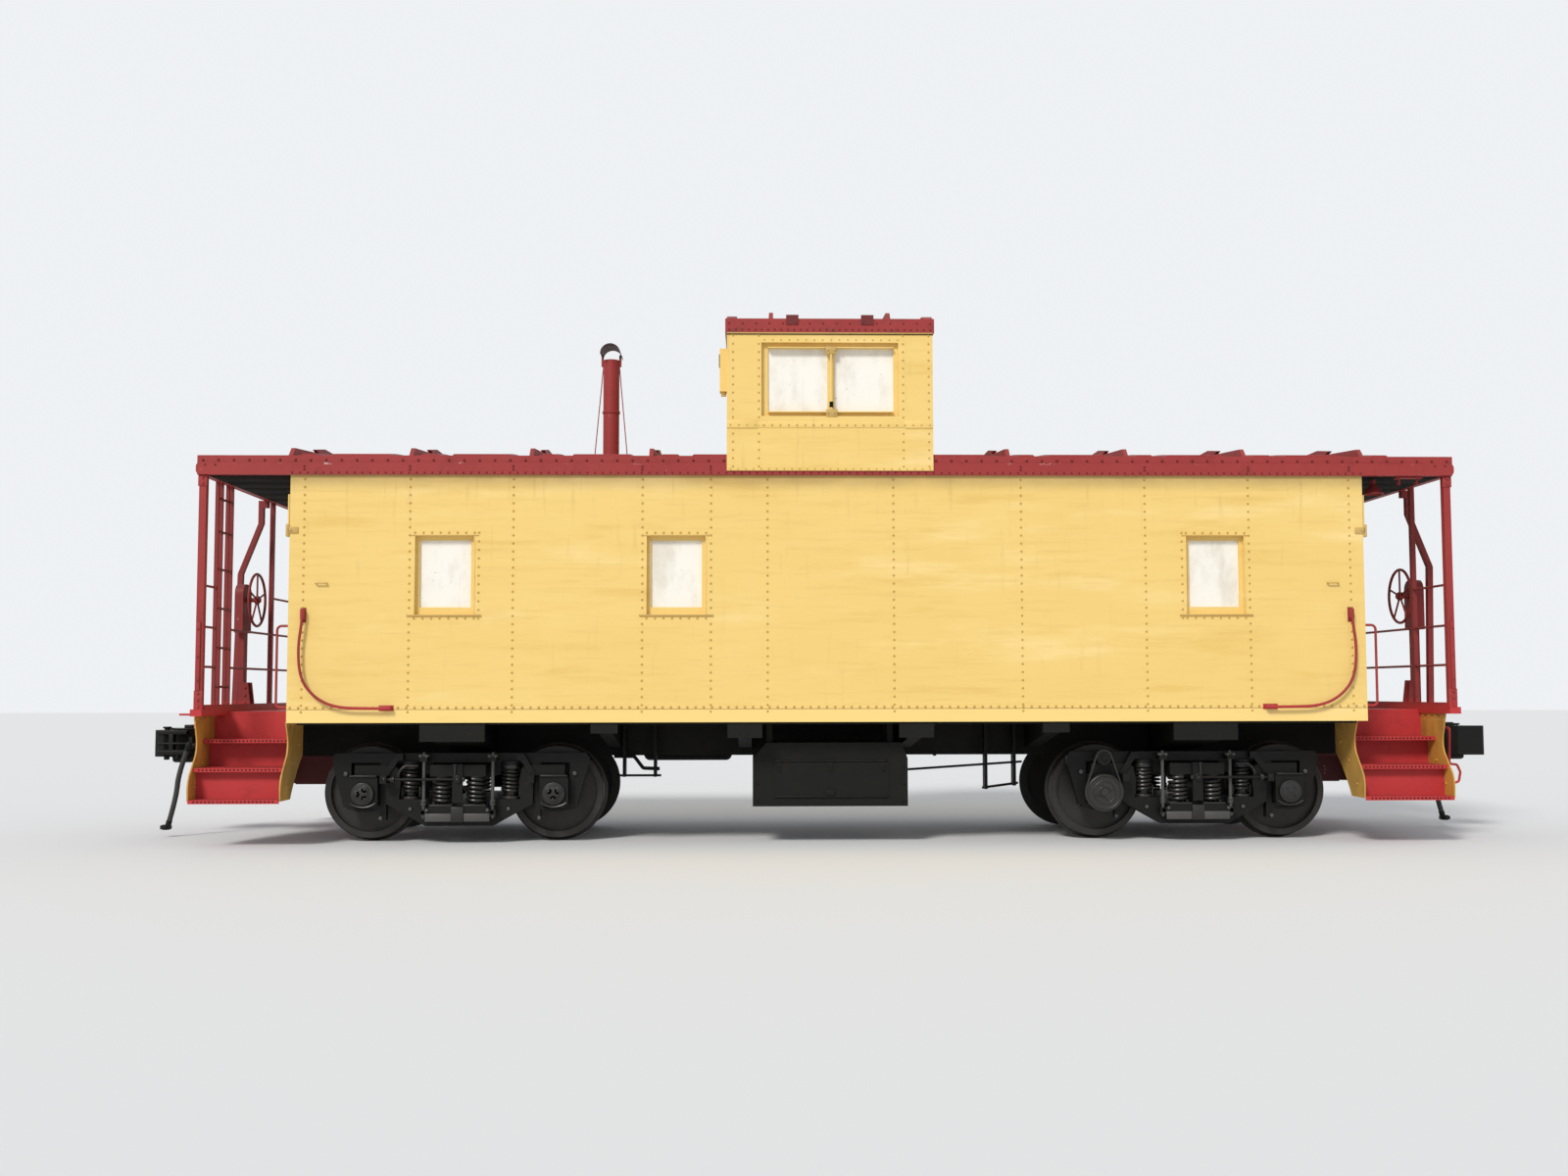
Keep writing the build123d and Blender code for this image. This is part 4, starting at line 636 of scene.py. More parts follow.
# %% Side sheet rivets
RIVET = 0.0135
RIVET_HEIGHT = 0.01
RIVET_PITCH = 0.072
HEAD_OUT = 0.003
SIDE_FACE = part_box("side_walls")[0][1]
LAP_Z = 1.198
COLUMN_TOP = 3.215
COLUMNS = (-4.605, -3.685, -2.783, -1.653, -1.052, -0.555, 0.555, 1.684, 2.783, 3.705, 4.605)
WINDOWS = (-3.38, -1.355, 3.406)
WINDOW_ROWS = (1.99, 2.742)
WINDOW_SIDES = (-3.082, 3.107)


def rivet(form, place, size=RIVET, height=RIVET_HEIGHT, axis=(0, -1, 0)):
    """A low dome on a sheet, which faces the camera's side unless it is told otherwise."""
    drum(form, place, axis, size, height, top=size * 0.5, sides=8)


side_rivets = bmesh.new()
rivet_face = SIDE_FACE - RIVET_HEIGHT / 2
for x in COLUMNS:
    for z in (LAP_Z - 0.022, *evenly(LAP_Z + 0.035, COLUMN_TOP, RIVET_PITCH)):
        rivet(side_rivets, (x, rivet_face, z))
for x in evenly(-4.70, 4.70, RIVET_PITCH):
    rivet(side_rivets, (x, rivet_face - HEAD_OUT, LAP_Z + 0.014))
for centre in WINDOWS:
    for z in WINDOW_ROWS:
        for x in evenly(*about(centre, 0.26), RIVET_PITCH):
            rivet(side_rivets, (x, rivet_face, z))
for x in WINDOW_SIDES:
    for z in evenly(*WINDOW_ROWS, RIVET_PITCH):
        rivet(side_rivets, (x, rivet_face, z))
turned(side_rivets)
finished_piece(side_rivets, "side_rivets", "yellow_paint", "car_body")

# %% Side laps and window ledges
LAP_TAPER = 0.0037
SEAT = 0.004
SILL_Z = (2.008, 2.021)
WINDOW_HEAD_Z = (2.7135, 2.7215)
HANDHOLD_X = 4.4445
HANDHOLD_Z = (2.289, 2.301)
side_laps = bmesh.new()
lap = on_face(side_laps, SIDE_FACE, (-4.729, 4.729), (LAP_Z, LAP_Z + 0.07), 0.0035, 0.002, 0)
top_edge = [v for v in lap if v.co.z > LAP_Z + 0.03 and v.co.y < SIDE_FACE]
bmesh.ops.translate(side_laps, vec=(0, LAP_TAPER, 0), verts=top_edge)
for centre in WINDOWS:
    on_face(side_laps, SIDE_FACE, about(centre, 0.325), SILL_Z, 0.016, SEAT, 0.003)
    on_face(side_laps, SIDE_FACE, about(centre, 0.3), WINDOW_HEAD_Z, 0.007, SEAT)
    for jamb in about(centre, 0.2615):
        jamb_z = (SILL_Z[1], WINDOW_HEAD_Z[0])
        on_face(side_laps, SIDE_FACE, about(jamb, 0.004), jamb_z, 0.005, SEAT, 0.0015)
for x in (-HANDHOLD_X, HANDHOLD_X):
    on_face(side_laps, SIDE_FACE, about(x, 0.052), HANDHOLD_Z, 0.034, -0.022, 0.004)
    for foot in about(x, 0.046):
        on_face(side_laps, SIDE_FACE, about(foot, 0.006), HANDHOLD_Z, 0.03, SEAT)
# A bracket for a marker lamp is folded round each corner of the body, under a short rod.
for side in (-1, 1):
    on_face(side_laps, SIDE_FACE, (side * 4.655, side * 4.745), (2.735, 2.79), 0.012, SEAT, 0.004)
    on_face(side_laps, SIDE_FACE, (side * 4.733, side * 4.762), (2.705, 2.815), 0.012, 0.05, 0.004)
    bolt_head(side_laps, (side * 4.72, SIDE_FACE - 0.014, 2.762), "Y", 0.011, 0.014)
    drum(side_laps, (side * 4.748, SIDE_FACE + 0.03, 2.93), "Z", 0.009, 0.3, sides=12)
turned(side_laps)
finished_piece(side_laps, "side_laps", "yellow_paint", "car_body")

# %% [markdown]
# ## Eaves
# A deep red fascia runs the whole length of the roof, and the roof's own flange stands above it. Both are
# riveted: close along the fascia's bottom edge, wide along the flange, and in upright pairs where the
# fascia's lengths are spliced. The fascia is the same on both sides, so one side is mirrored.

# %% Eave rivets
FASCIA_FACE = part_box("main_roof")[0][1]
FLANGE_FACE = FASCIA_FACE + 0.012
FASCIA_ROW_Z = 3.267
FLANGE_ROW_Z = 3.378
eave_rivets = bmesh.new()
for x in evenly(-4.71, 4.71, 0.068):
    rivet(eave_rivets, (x, FASCIA_FACE - HEAD_OUT, FASCIA_ROW_Z), 0.0105)
for x in evenly(-5.49, 5.49, 0.134):
    rivet(eave_rivets, (x, FLANGE_FACE - HEAD_OUT, FLANGE_ROW_Z), 0.0145, 0.014)
for x in COLUMNS:
    for z in (3.295, 3.323):
        rivet(eave_rivets, (x, FASCIA_FACE - HEAD_OUT, z), 0.0125)
for x in (-5.47, -5.38, 5.38, 5.47):
    rivet(eave_rivets, (x, FASCIA_FACE - HEAD_OUT, 3.335), 0.011)
reflected(eave_rivets, "Y")
finished_piece(eave_rivets, "eave_rivets", "red_paint", "car_body")

# %% [markdown]
# ## Cupola trim
# The cupola's side has its own rivet columns, a belt under the windows, a plain lip where the roof's
# flange begins, and small latch plates on the post between the panes. The near and far sides match.

# %% Cupola rivets
CUPOLA_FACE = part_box("cupola_sides")[0][1]
CUPOLA_FASCIA_FACE = CUPOLA_FACE - 0.014
CUPOLA_COLUMNS = (-0.858, -0.63, 0.646, 0.873)
cupola_rivets = bmesh.new()
for x in CUPOLA_COLUMNS:
    for z in evenly(3.325, 4.49, RIVET_PITCH):
        rivet(cupola_rivets, (x, CUPOLA_FACE - HEAD_OUT, z))
for low, high, pitch, z in ((-0.88, 0.88, 0.068, 3.302), (-0.58, 0.6, RIVET_PITCH, 4.452)):
    for x in evenly(low, high, pitch):
        rivet(cupola_rivets, (x, CUPOLA_FACE - HEAD_OUT, z), 0.0095)
reflected(cupola_rivets, "Y")
finished_piece(cupola_rivets, "cupola_rivets", "yellow_paint", "car_body")

cupola_eave_rivets = bmesh.new()
for z, pitch in ((4.539, 0.057), (4.596, 0.115)):
    for x in evenly(-0.89, 0.89, pitch):
        rivet(cupola_eave_rivets, (x, CUPOLA_FASCIA_FACE - HEAD_OUT, z), 0.0095)
reflected(cupola_eave_rivets, "Y")
finished_piece(cupola_eave_rivets, "cupola_eave_rivets", "red_paint", "car_body")

# %% Cupola belt, lip and latches
BELT_Z = (3.668, 3.722)
LIP_Z = (4.5045, 4.5145)
CUPOLA_SEAT = 0.003
cupola_trim = bmesh.new()
on_face(cupola_trim, CUPOLA_FACE, (-0.911, 0.911), BELT_Z, 0.005, CUPOLA_SEAT)
for x in ((-0.911, -0.64), (0.66, 0.911)):
    on_face(cupola_trim, CUPOLA_FACE, x, (BELT_Z[0] - 0.004, BELT_Z[1] + 0.01), 0.009, CUPOLA_SEAT)
on_face(cupola_trim, CUPOLA_FACE, (-0.913, 0.913), LIP_Z, 0.016, CUPOLA_SEAT)
for x in ((-0.55, -0.032), (0.044, 0.562)):
    for z in (3.809, 4.385):
        on_face(cupola_trim, CUPOLA_FACE, x, about(z, 0.004), 0.001, 0.045, 0.0015)
for x in evenly(-0.88, 0.88, RIVET_PITCH):
    rivet(cupola_trim, (x, CUPOLA_FACE - 0.01, 3.69), 0.0115)
# Each sliding sash is locked by a rod on the middle post, between a top and a bottom catch.
for z, high_x in ((4.36, 0.055), (3.80, 0.065)):
    on_face(cupola_trim, CUPOLA_FACE, (-0.035, high_x), about(z, 0.032), 0.012, 0.03, 0.005)
    for x in (-0.02, 0.04):
        bolt_head(cupola_trim, (x, CUPOLA_FACE - 0.016, z), "Y", 0.011, 0.012, 0.0015)
drum(cupola_trim, (0.012, CUPOLA_FACE + 0.004, 4.08), "Z", 0.009, 0.52, sides=12)
reflected(cupola_trim, "Y")
finished_piece(cupola_trim, "cupola_trim", "yellow_paint", "car_body")

# The black strip under the cupola's lip is painted shadow, the shadow that the lip casts.
lip_shadow_and_trim = bmesh.new()
on_face(lip_shadow_and_trim, CUPOLA_FACE, (-0.9115, 0.9115), (4.4965, LIP_Z[0]), 0.003, 0.002, 0.0015)
on_face(lip_shadow_and_trim, CUPOLA_FACE, (-0.004, 0.028), (3.85, 3.9), 0.008, 0.02, 0.004)
reflected(lip_shadow_and_trim, "Y")
finished_piece(lip_shadow_and_trim, "cupola_lip_shadow_and_trim", "underframe_black", "car_body")

box_plate = bmesh.new()
block(box_plate, (-0.983, -1.385, 4.237), (-0.9745, -1.305, 4.346), 0.002)
turned(box_plate)
finished_piece(box_plate, "cupola_box_plates", "underframe_black", "car_body")

# %% [markdown]
# ## Coil springs
# The trucks are the show-piece of this car. Each has four large coils, two at the middle of either side,
# which stand on a plank slung from the frame, and four smaller coils between frame and equaliser bars.
# A spring is a small circle that is spun round the coil's centre line while it climbs, which is what a
# spring winder does. They replace the ringed columns of the CAD model, with their seats and caps.
# One side of a truck is made in truck coordinates and mirrored, and the -X truck is turned half round.

# %% Springs
TRUCK_X = 3.3
BOLSTER_SPRINGS = ((-0.15, -1.048), (0.15, -1.048))
BOLSTER_SPRING_Z = (0.333, 0.6)
EQUALISER_SPRINGS = ((-0.445, -0.965), (0.445, -0.965))
EQUALISER_SPRING_Z = (0.391, 0.714)
SEAT_RADIUS = 0.088


def truck_piece(form, end, name, slot, replaced=()):
    """Moves a bmesh from truck coordinates to one truck's place and finishes it there."""
    if end == "a":
        place = Matrix.Translation((-TRUCK_X, 0, 0)) @ Matrix.Rotation(math.pi, 4, "Z")
    else:
        place = Matrix.Translation((TRUCK_X, 0, 0))
    bmesh.ops.transform(form, matrix=place, verts=form.verts[:])
    finished_piece(form, f"{name}_{end}", slot, f"truck_{end}", replaced)


for end in ("a", "b"):
    springs = bmesh.new()
    low, high = BOLSTER_SPRING_Z
    for x, y in BOLSTER_SPRINGS:
        coil(springs, (x, y), 0.08, low + 0.024, high - 0.024, 5.8, 0.027)
        coil(springs, (x, y), 0.044, low + 0.02, high - 0.02, 8.5, 0.016, 14)
        for z in (low + 0.006, high - 0.006):
            drum(springs, (x, y, z), "Z", SEAT_RADIUS, 0.012, sides=24, edge=0.003)
    low, high = EQUALISER_SPRING_Z
    for x, y in EQUALISER_SPRINGS:
        coil(springs, (x, y), 0.071, low + 0.05, high - 0.062, 6.2, 0.025)
        drum(springs, (x, y, low + 0.012), "Z", SEAT_RADIUS, 0.024, sides=24, edge=0.005)
        drum(springs, (x, y, low + 0.055), "Z", 0.05, 0.07, 0.058, sides=24, edge=0.004)
        for lug in about(x, 0.079):
            block(springs, (lug - 0.007, y - 0.03, low + 0.01), (lug + 0.007, y + 0.03, 0.5), 0.004)
        drum(springs, (x, y, high - 0.033), "Z", 0.09, 0.046, 0.084, sides=24, edge=0.006)
    reflected(springs, "Y")
    truck_piece(springs, end, "coil_springs", "spring_steel", [f"truck_springs_{end}"])

# %% [markdown]
# ## Journal box lids
# Each axle end runs in a box with a bolted lid. On the -X truck the lids have three lobes and three
# bolts, set at odd angles because they were bolted back as they came, and on the +X truck they are round
# with four bolts. The lid at the drive pulley is left off, as the pulley takes its place. The pulley's
# rim and boss are circles that are spun all the way round.

# %% Lids
LID_FACE = 1.123
LID_PITCH = 0.006
AXLE_X = 0.845
AXLE_Z = 0.4444


def hoop(form, centre, radius, wire):
    """A round ring that faces the side."""
    place = Matrix.Translation((centre[0] + radius, centre[1], centre[2]))
    spun(form, place, wire, cent=centre, axis=(0, 1, 0), angle=math.tau, steps=36, use_merge=True)


def around(centre, radius, degrees):
    """A point on an upright circle that faces the side."""
    angle = math.radians(degrees)
    return (centre[0] + radius * math.cos(angle), centre[1], centre[2] + radius * math.sin(angle))


def lid_layer(form, x, side, layer, radius, depth, **shape):
    """One round layer of a lid. Layers are counted outwards from the box's face."""
    place = (x, side * (LID_FACE + layer * LID_PITCH), AXLE_Z)
    drum(form, place, "Y", radius, depth, **shape)
    return place


for end in ("a", "b"):
    lids = bmesh.new()
    for x, first in ((-AXLE_X, -90), (AXLE_X, 0)):
        for side in (-1, 1):
            if end == "b" and side < 0 and x < 0:
                continue
            lid_layer(lids, x, side, 1, 0.099, 0.014, sides=32, edge=0.004)
            if end == "a":
                boss = lid_layer(lids, x, side, 2.6, 0.054, 0.02, sides=24, edge=0.004)
                for lobe in range(3):
                    middle = around(boss, 0.048, first + 120 * lobe)
                    drum(lids, middle, "Y", 0.033, 0.02, sides=20, edge=0.004)
                    head_y = side * (LID_FACE + 4.8 * LID_PITCH)
                    bolt_head(lids, (middle[0], head_y, middle[2]), "Y", 0.013, 0.014)
            else:
                lid_layer(lids, x, side, 2.4, 0.078, 0.014, sides=28, edge=0.004)
                lid_layer(lids, x, side, 3.4, 0.017, 0.014, edge=0.003)
                for bolt in range(4):
                    head = (x, side * (LID_FACE + 4 * LID_PITCH), AXLE_Z)
                    bolt_head(lids, around(head, 0.05, 45 + 90 * bolt), "Y", 0.0105, 0.014, 0.0015)
            lip_y = side * (LID_FACE - 0.012)
            lip_centre = (x, lip_y, AXLE_Z + 0.08)
            bend(lids, (x + 0.115, lip_y, AXLE_Z - 0.082), lip_centre, (0, 1, 0), math.radians(70), 0.009)
            ledge_y = (side * (LID_FACE - 0.06), side * (LID_FACE + 0.004))
            block(lids, (x - 0.12, ledge_y[0], 0.596), (x + 0.12, ledge_y[1], 0.607), 0.003)
    truck_piece(lids, end, "journal_lids", "spring_steel")

# The pulley is cast with a rim and a boss, and four bolts hold it to its hub. It turns with its axle.
PULLEY_CENTRE = (TRUCK_X - AXLE_X, -1.186, AXLE_Z)
pulley_face = bmesh.new()
for radius, wire in ((0.148, 0.009), (0.098, 0.0065), (0.05, 0.006)):
    hoop(pulley_face, PULLEY_CENTRE, radius, wire)
for bolt in range(4):
    bolt_head(pulley_face, around(PULLEY_CENTRE, 0.072, 20 + 90 * bolt), "Y", 0.0115, 0.024)
finished_piece(pulley_face, "pulley_face", "spring_steel", "wheelset_b_inner")

# %% [markdown]
# ## Bolts, hanger nuts and anchor rods
# Worn nuts lock the swing hangers, and bolts hold the pedestal legs, the equaliser bars and the spring
# plank. A long anchor rod ties the bolster to the frame so that it can't creep along the car. The
# fittings at the rod's two ends and the curved strap above it are bars and spun rods.

# %% Truck bolts
HANGER_X = 0.305
HANGER_Y = -1.112
HANGER_PIN_Z = 0.779
PLANK_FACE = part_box("swing_plank_a")[0][1]
BAR_FACE = -1.043
LEG_FACE = -1.006

for end in ("a", "b"):
    bolts = bmesh.new()
    for side in (-1, 1):
        x = side * HANGER_X
        for z in (0.352, 0.384):
            bolt_head(bolts, (x, HANGER_Y, z), "Z", 0.024, 0.02)
        drum(bolts, (x, HANGER_Y, 0.368), "Z", 0.028, 0.006, sides=20)
        drum(bolts, (x, HANGER_Y, 0.585), "Z", 0.0155, 0.35, sides=12)
        for ear in about(x, 0.027):
            drum(bolts, (ear, HANGER_Y - 0.012, HANGER_PIN_Z), "Y", 0.0135, 0.05, sides=12, edge=0.003)
        drum(bolts, (x, HANGER_Y - 0.005, HANGER_PIN_Z), "X", 0.011, 0.09, sides=12)
        bolt_head(bolts, (x, HANGER_Y - 0.018, 0.282), "Y", 0.021, 0.04, 0.003)
        bolt_head(bolts, (side * 0.436, BAR_FACE - 0.008, 0.306), "Y", 0.017, 0.018)
        bolt_head(bolts, (side * 0.706, LEG_FACE - 0.008, 0.222), "Y", 0.018, 0.02)
        drum(bolts, (side * 1.02, LEG_FACE - 0.01, 0.618), "Y", 0.019, 0.026, edge=0.004)
        drum(bolts, (side * 0.268, PLANK_FACE - 0.012, 0.303), "Y", 0.014, 0.028, edge=0.004)
    reflected(bolts, "Y")
    truck_piece(bolts, end, "truck_bolts", "worn_iron")

# %% Aprons, anchor fittings and straps
ROD_Y = -1.166
ROD_Z = 0.574
APRON_OUT = 0.006

for end in ("a", "b"):
    aprons = bmesh.new()
    for x in ((-0.285, -0.055), (0.055, 0.285)):
        on_face(aprons, PLANK_FACE, x, (0.202, 0.272), APRON_OUT, 0.002, 0.003)
    reflected(aprons, "Y")
    truck_piece(aprons, end, "spring_aprons", "worn_iron")

    fittings = bmesh.new()
    on_face(fittings, PLANK_FACE, (-0.054, 0.054), (0.198, 0.33), APRON_OUT + 0.009, 0.002, 0.004)
    for x in (-0.15, 0.15):
        on_face(fittings, PLANK_FACE, about(x, 0.1), (0.334, 0.35), -0.004, 0.02, 0.003)
    drum(fittings, (0.0, ROD_Y, ROD_Z), "Y", 0.034, 0.03, sides=20, edge=0.005)
    bolt_head(fittings, (0.0, ROD_Y - 0.018, ROD_Z), "Y", 0.015, 0.014)
    drum(fittings, (0.022, ROD_Y, 0.634), "Z", 0.011, 0.12, sides=12, edge=0.003)
    bolt_head(fittings, (0.022, ROD_Y, 0.7), "Z", 0.02, 0.016)
    bolt_head(fittings, (-0.055, ROD_Y, ROD_Z), "X", 0.021, 0.024, 0.003)
    for nut, washer in ((0.578, 0.56), (0.662, 0.642)):
        bolt_head(fittings, (nut, ROD_Y, ROD_Z), "X", 0.026, 0.024, 0.003)
        drum(fittings, (washer, ROD_Y, ROD_Z), "X", 0.031, 0.008, sides=20)
    strap_centre = (0.44, -1.08, 0.592)
    bend(fittings, (0.54, -1.08, 0.592), strap_centre, (0, -1, 0), math.radians(68), 0.013, steps=8)
    block(fittings, (0.36, -1.11, 0.684), (0.485, -1.05, 0.698), 0.004)
    reflected(fittings, "Y")
    truck_piece(fittings, end, "anchor_fittings", "spring_steel")

# %% [markdown]
# ## Equipment box
# The box under the floor has a lid that lifts outwards. Its top hinge has a knuckle at each end and one
# in the middle, a small latch holds it at the bottom, and bolts show at the corners of the box. What is
# screwed to the lid rides on the lid, so it swings with it.

# %% Lid fittings
lid_low, lid_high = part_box("equipment_box_door")
box_low, box_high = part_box("equipment_box")
LID_SEAT = 0.0115
lid_parts = bmesh.new()
lid_face = lid_low[1]
hinge_z = lid_high[2] - 0.008
for x in (lid_low[0] + 0.05, (lid_low[0] + lid_high[0]) / 2, lid_high[0] - 0.05):
    drum(lid_parts, (x, lid_face + 0.008, hinge_z), "X", 0.0125, 0.07, edge=0.002)
    on_face(lid_parts, lid_face, about(x, 0.02), (hinge_z - 0.1, hinge_z), -0.006, LID_SEAT)
    for z in (hinge_z - 0.08, hinge_z - 0.05):
        rivet(lid_parts, (x, lid_face + 0.004, z), 0.008, 0.005)
rail_x = (lid_low[0] + 0.005, lid_high[0] - 0.005)
on_face(lid_parts, lid_face, rail_x, (lid_low[2] + 0.002, lid_low[2] + 0.022), -0.004, LID_SEAT, 0.003)
latch_z = (lid_low[2] + 0.02, lid_low[2] + 0.07)
on_face(lid_parts, lid_face, (-0.03, 0.05), latch_z, 0.006, LID_SEAT, 0.004)
finished_piece(lid_parts, "box_lid_fittings", "underframe_black", "equipment_box_door")

box_bolts = bmesh.new()
for x in (box_low[0] + 0.04, box_high[0] - 0.04):
    for rise in (0.05, 0.2, 0.35):
        bolt_head(box_bolts, (x, box_low[1] - 0.004, box_low[2] + rise), "Y", 0.011, 0.012, 0.0015)
finished_piece(box_bolts, "box_bolts", "underframe_black", "car_body")

# %% [markdown]
# ## Steps, posts and platforms
# The step plates are bolted through, the treads' nosings are punched for grip, and each corner post
# stands on a bolted foot. All of these are made for the +X end and turned round for the other, as on the
# real car, whose two ends are alike when each is seen from its own side.

# %% Bolts of the ends
POST_X = 5.494
POST_FACE = 1.456
BRAKE_Y = -0.27
end_bolts = bmesh.new()
for side in (-1, 1):
    # A foot, a flat bar that stiffens the lower half and a top plate, each with its bolts.
    for left, right, low, high, proud, bolt_x, radius, depth, heads in (
        (0.04, 0.036, 1.2005, 1.362, 0.008, 0.0, 0.0125, 0.014, (1.225, 1.283, 1.34)),
        (0.012, 0.026, 1.36, 1.96, 0.014, 0.008, 0.0105, 0.012, (1.45, 1.66, 1.9)),
        (0.04, 0.04, 3.15, 3.249, 0.007, 0.0, 0.0115, 0.014, (3.175, 3.225)),
    ):
        back, front = side * (POST_FACE - 0.004), side * (POST_FACE + proud)
        block(end_bolts, (POST_X - left, back, low), (POST_X + right, front, high), 0.003)
        for z in heads:
            place = (POST_X + bolt_x, side * (POST_FACE + proud + 0.004), z)
            bolt_head(end_bolts, place, "Y", radius, depth)
for z in (1.245, 1.32, 1.395):
    for y in about(BRAKE_Y, 0.078):
        bolt_head(end_bolts, (5.622, y, z), "Y", 0.011, 0.014)
bolt_head(end_bolts, (5.519, BRAKE_Y, 2.25), "X", 0.026, 0.02, 0.003)
for y in (-0.36, -0.18):
    for z in (1.99, 2.16, 2.33):
        rivet(end_bolts, (5.7235, y, z), 0.009, 0.005, (1, 0, 0))
# The lifting rod of the coupler's lock ends in a plain handle at the platform's edge.
drum(end_bolts, (5.6, 1.36, 1.155), "X", 0.009, 0.17, sides=12, edge=0.002)
turned(end_bolts)
finished_piece(end_bolts, "end_bolts", "red_paint", "car_body")

# %% Step bolts and nosings
STEP_SHIFT = 0.042
STEP_PLATES = ((5.527, 1.115), (4.732, 1.055))
NOSINGS = ((1.11, 0.932), (1.345, 0.687), (1.462, 0.418))
step_bolts = bmesh.new()
nosing_hole_shade = bmesh.new()
for side in (-1, 1):
    shift = side * STEP_SHIFT
    for plate_x, top_row in STEP_PLATES:
        heads = [(y, top_row) for y in evenly(0.86, 1.26, 0.13)] + [(0.93, 0.88), (1.12, 0.72), (1.3, 0.52)]
        for y, z in heads:
            bolt_head(step_bolts, (plate_x + shift, side * y, z), "X", 0.0125, 0.03)
    # The black discs along each nosing are painted shade, which stands for the dark inside its punched
    # holes.
    for front, z in NOSINGS:
        for x in evenly(4.79 + shift, 5.47 + shift, 0.034):
            drum(nosing_hole_shade, (x, side * (front + 0.0015), z - 0.016), "Y", 0.0075, 0.005, sides=8)
turned(step_bolts)
turned(nosing_hole_shade)
finished_piece(step_bolts, "step_bolts", "yellow_paint", "car_body")
finished_piece(nosing_hole_shade, "nosing_hole_shade", "underframe_black", "car_body")

# %% [markdown]
# ## Curved grab irons
# A hand rail sweeps down each corner of the body in one long bend, from a flange beside the door end to
# another above the truck. A smith bends such a rail over a former, so it has no corners. Here it is a NURBS
# curve with a round section, which is made a mesh so that the four rails are one piece, and it replaces the
# CAD rail, whose bends are plain arcs.

# %% Grab irons
GRAB_ROUTE = (
    (4.594, 2.06), (4.594, 1.96), (4.627, 1.73), (4.602, 1.46),
    (4.478, 1.30), (4.30, 1.215), (4.05, 1.205), (3.83, 1.205),
)
GRAB_FEET = ((4.597, 2.018, 0.05, 0.13), (3.867, 1.208, 0.13, 0.048))
GRAB_DIAMETER = 0.025
GRAB_Y = -1.512
rail_curve = round_curve("grab_rail", GRAB_DIAMETER, 3)
for side in (-1, 1):
    for end in (-1, 1):
        thread(rail_curve, [(end * x, side * -GRAB_Y, z) for x, z in GRAB_ROUTE], 8)
rail_object = placed("grab_rail", rail_curve)
bpy.context.view_layer.update()
evaluated_rail = rail_object.evaluated_get(bpy.context.evaluated_depsgraph_get())
rail_mesh = bpy.data.meshes.new_from_object(evaluated_rail)
grab_rails = bmesh.new()
grab_rails.from_mesh(rail_mesh)
bpy.data.objects.remove(rail_object)
bmesh.ops.remove_doubles(grab_rails, verts=grab_rails.verts[:], dist=0.0001)
feet = bmesh.new()
for x, z, wide, tall in GRAB_FEET:
    block(feet, (x - wide / 2, -1.4665, z - tall / 2), (x + wide / 2, -1.459, z + tall / 2), 0.003)
    foot_low = (x - wide / 2.6, GRAB_Y - 0.008, z - tall / 3.4)
    block(feet, foot_low, (x + wide / 3.4, -1.462, z + tall / 2.6), 0.006)
    for shift in (-0.4, 0.4):
        across, up = (0, shift * tall) if tall > wide else (shift * wide, 0)
        bolt_head(feet, (x + across, -1.468, z + up), "Y", 0.009, 0.01, 0.0015)
reflected(feet, "X")
reflected(feet, "Y")
feet_mesh = bpy.data.meshes.new("grab_feet")
feet.to_mesh(feet_mesh)
feet.free()
grab_rails.from_mesh(feet_mesh)
finished_piece(grab_rails, "grab_rails", "red_paint", "car_body", ["grab_irons"])

# %% [markdown]
# ## Under the eaves
# The roof runs out over both platforms. Two bent hooks hang from its soffit near the corner posts, for a
# lantern, and the soffit is closed with black boards.

# %% Soffit hooks and boards
HOOK_Y = -1.38
BOARD_PITCH = 0.403
soffit = bmesh.new()
for x in (5.10, 5.26):
    drum(soffit, (x, HOOK_Y, 3.215), "Z", 0.008, 0.07, sides=12)
    hook_centre = (x, HOOK_Y + 0.028, 3.182)
    bend(soffit, (x, HOOK_Y, 3.182), hook_centre, (1, 0, 0), math.radians(-160), 0.008, steps=8)
block(soffit, (5.06, HOOK_Y - 0.04, 3.236), (5.3, HOOK_Y + 0.04, 3.2485), 0.003)
for x in (5.08, 5.28):
    bolt_head(soffit, (x, HOOK_Y, 3.232), "Z", 0.011, 0.012)
turned(soffit)
finished_piece(soffit, "soffit_hooks", "red_paint", "car_body")

soffit_boards = bmesh.new()
for index in range(7):
    low_y = -1.41 + index * BOARD_PITCH
    block(soffit_boards, (4.735, low_y + 0.0015, 3.2425), (5.455, low_y + 0.4015, 3.2505), 0.002)
turned(soffit_boards)
finished_piece(soffit_boards, "soffit_boards", "underframe_black", "car_body")

# %% [markdown]
# ## Couplers and doors
# The coupler's knuckle swings on an upright pin and is locked by a lifting lug on top. Its back is ribbed
# with slots between the ribs, its chin rests on a carrier, and bolts hold the striker plate. Each end
# door has a knob, a lock plate and a kick plate on its outside.

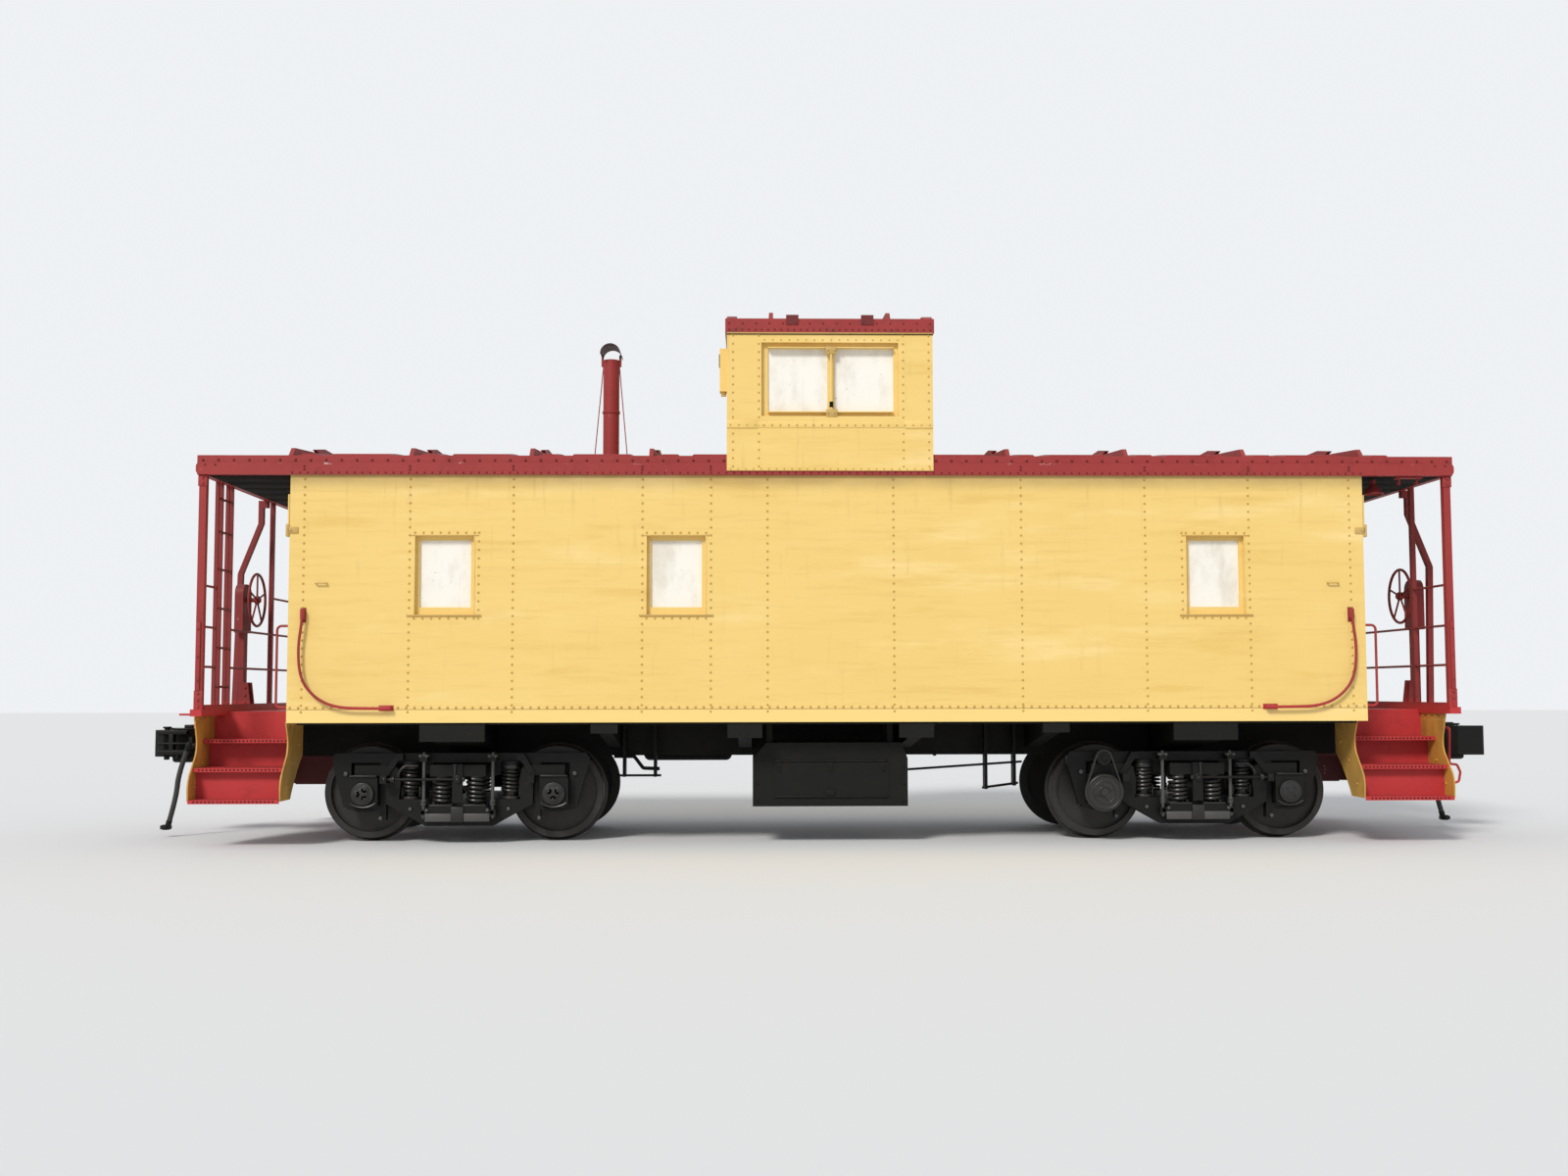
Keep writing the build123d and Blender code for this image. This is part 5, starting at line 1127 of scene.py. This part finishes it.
# %% Coupler fittings
PIN_X = 6.235
PIN_Y = 0.145
COUPLER_Z = 0.8664
coupler_parts = bmesh.new()
for rise, radius, depth in ((0, 0.026, 0.31), (0.15, 0.04, 0.016)):
    drum(coupler_parts, (PIN_X, PIN_Y, COUPLER_Z + rise), "Z", radius, depth, sides=20, edge=0.004)
for low, high, edge in (
    ((6.05, -0.055, 0.13), (6.13, 0.0, 0.172), 0.008),
    ((5.985, -0.14, -0.152), (6.03, 0.14, -0.13), 0.005),
    ((6.0, -0.12, -0.183), (6.2, 0.12, -0.12), 0.028),
    ((6.03, 0.11, 0.085), (6.31, 0.21, 0.125), 0.006),
    ((6.03, 0.11, -0.009), (6.31, 0.21, 0.009), 0.006),
    ((6.03, 0.11, -0.107), (6.31, 0.21, -0.063), 0.006),
    ((6.155, 0.11, -0.1), (6.2, 0.209, 0.11), 0.006),
):
    low, high = ((x, y, COUPLER_Z + rise) for x, y, rise in (low, high))
    block(coupler_parts, low, high, edge)
for y in (-0.168, 0.168):
    for rise in (0.17, 0.27):
        bolt_head(coupler_parts, (5.738, y, COUPLER_Z + rise), "X", 0.017, 0.02, 0.003)
turned(coupler_parts)
finished_piece(coupler_parts, "coupler_fittings", "truck_iron", "car_body")

# %% Door fittings
KNOB_Y = 0.305
KNOB_Z = 2.14
for end, out in (("a", -1), ("b", 1)):
    door_low, door_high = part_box(f"end_door_{end}")
    face = door_low[0] if end == "a" else door_high[0]
    knob_y = out * KNOB_Y
    door_parts = bmesh.new()
    low_y, high_y = about(knob_y, 0.03)
    block(door_parts, (face - 0.003, low_y, 2.03), (face + out * 0.006, high_y, 2.2), 0.003)
    drum(door_parts, (face + out * 0.02, knob_y, KNOB_Z), "X", 0.011, 0.03, sides=12)
    drum(door_parts, (face + out * 0.042, knob_y, KNOB_Z), "X", 0.027, 0.026, sides=20, edge=0.008)
    block(door_parts, (face - 0.003, -0.33, 1.21), (face + out * 0.003, 0.33, 1.42), 0.002)
    for z in (1.23, 1.40):
        for y in evenly(-0.31, 0.31, 0.155):
            rivet(door_parts, (face + out * 0.005, y, z), 0.008, 0.004, (out, 0, 0))
    finished_piece(door_parts, f"door_fittings_{end}", "underframe_black", f"end_door_{end}")
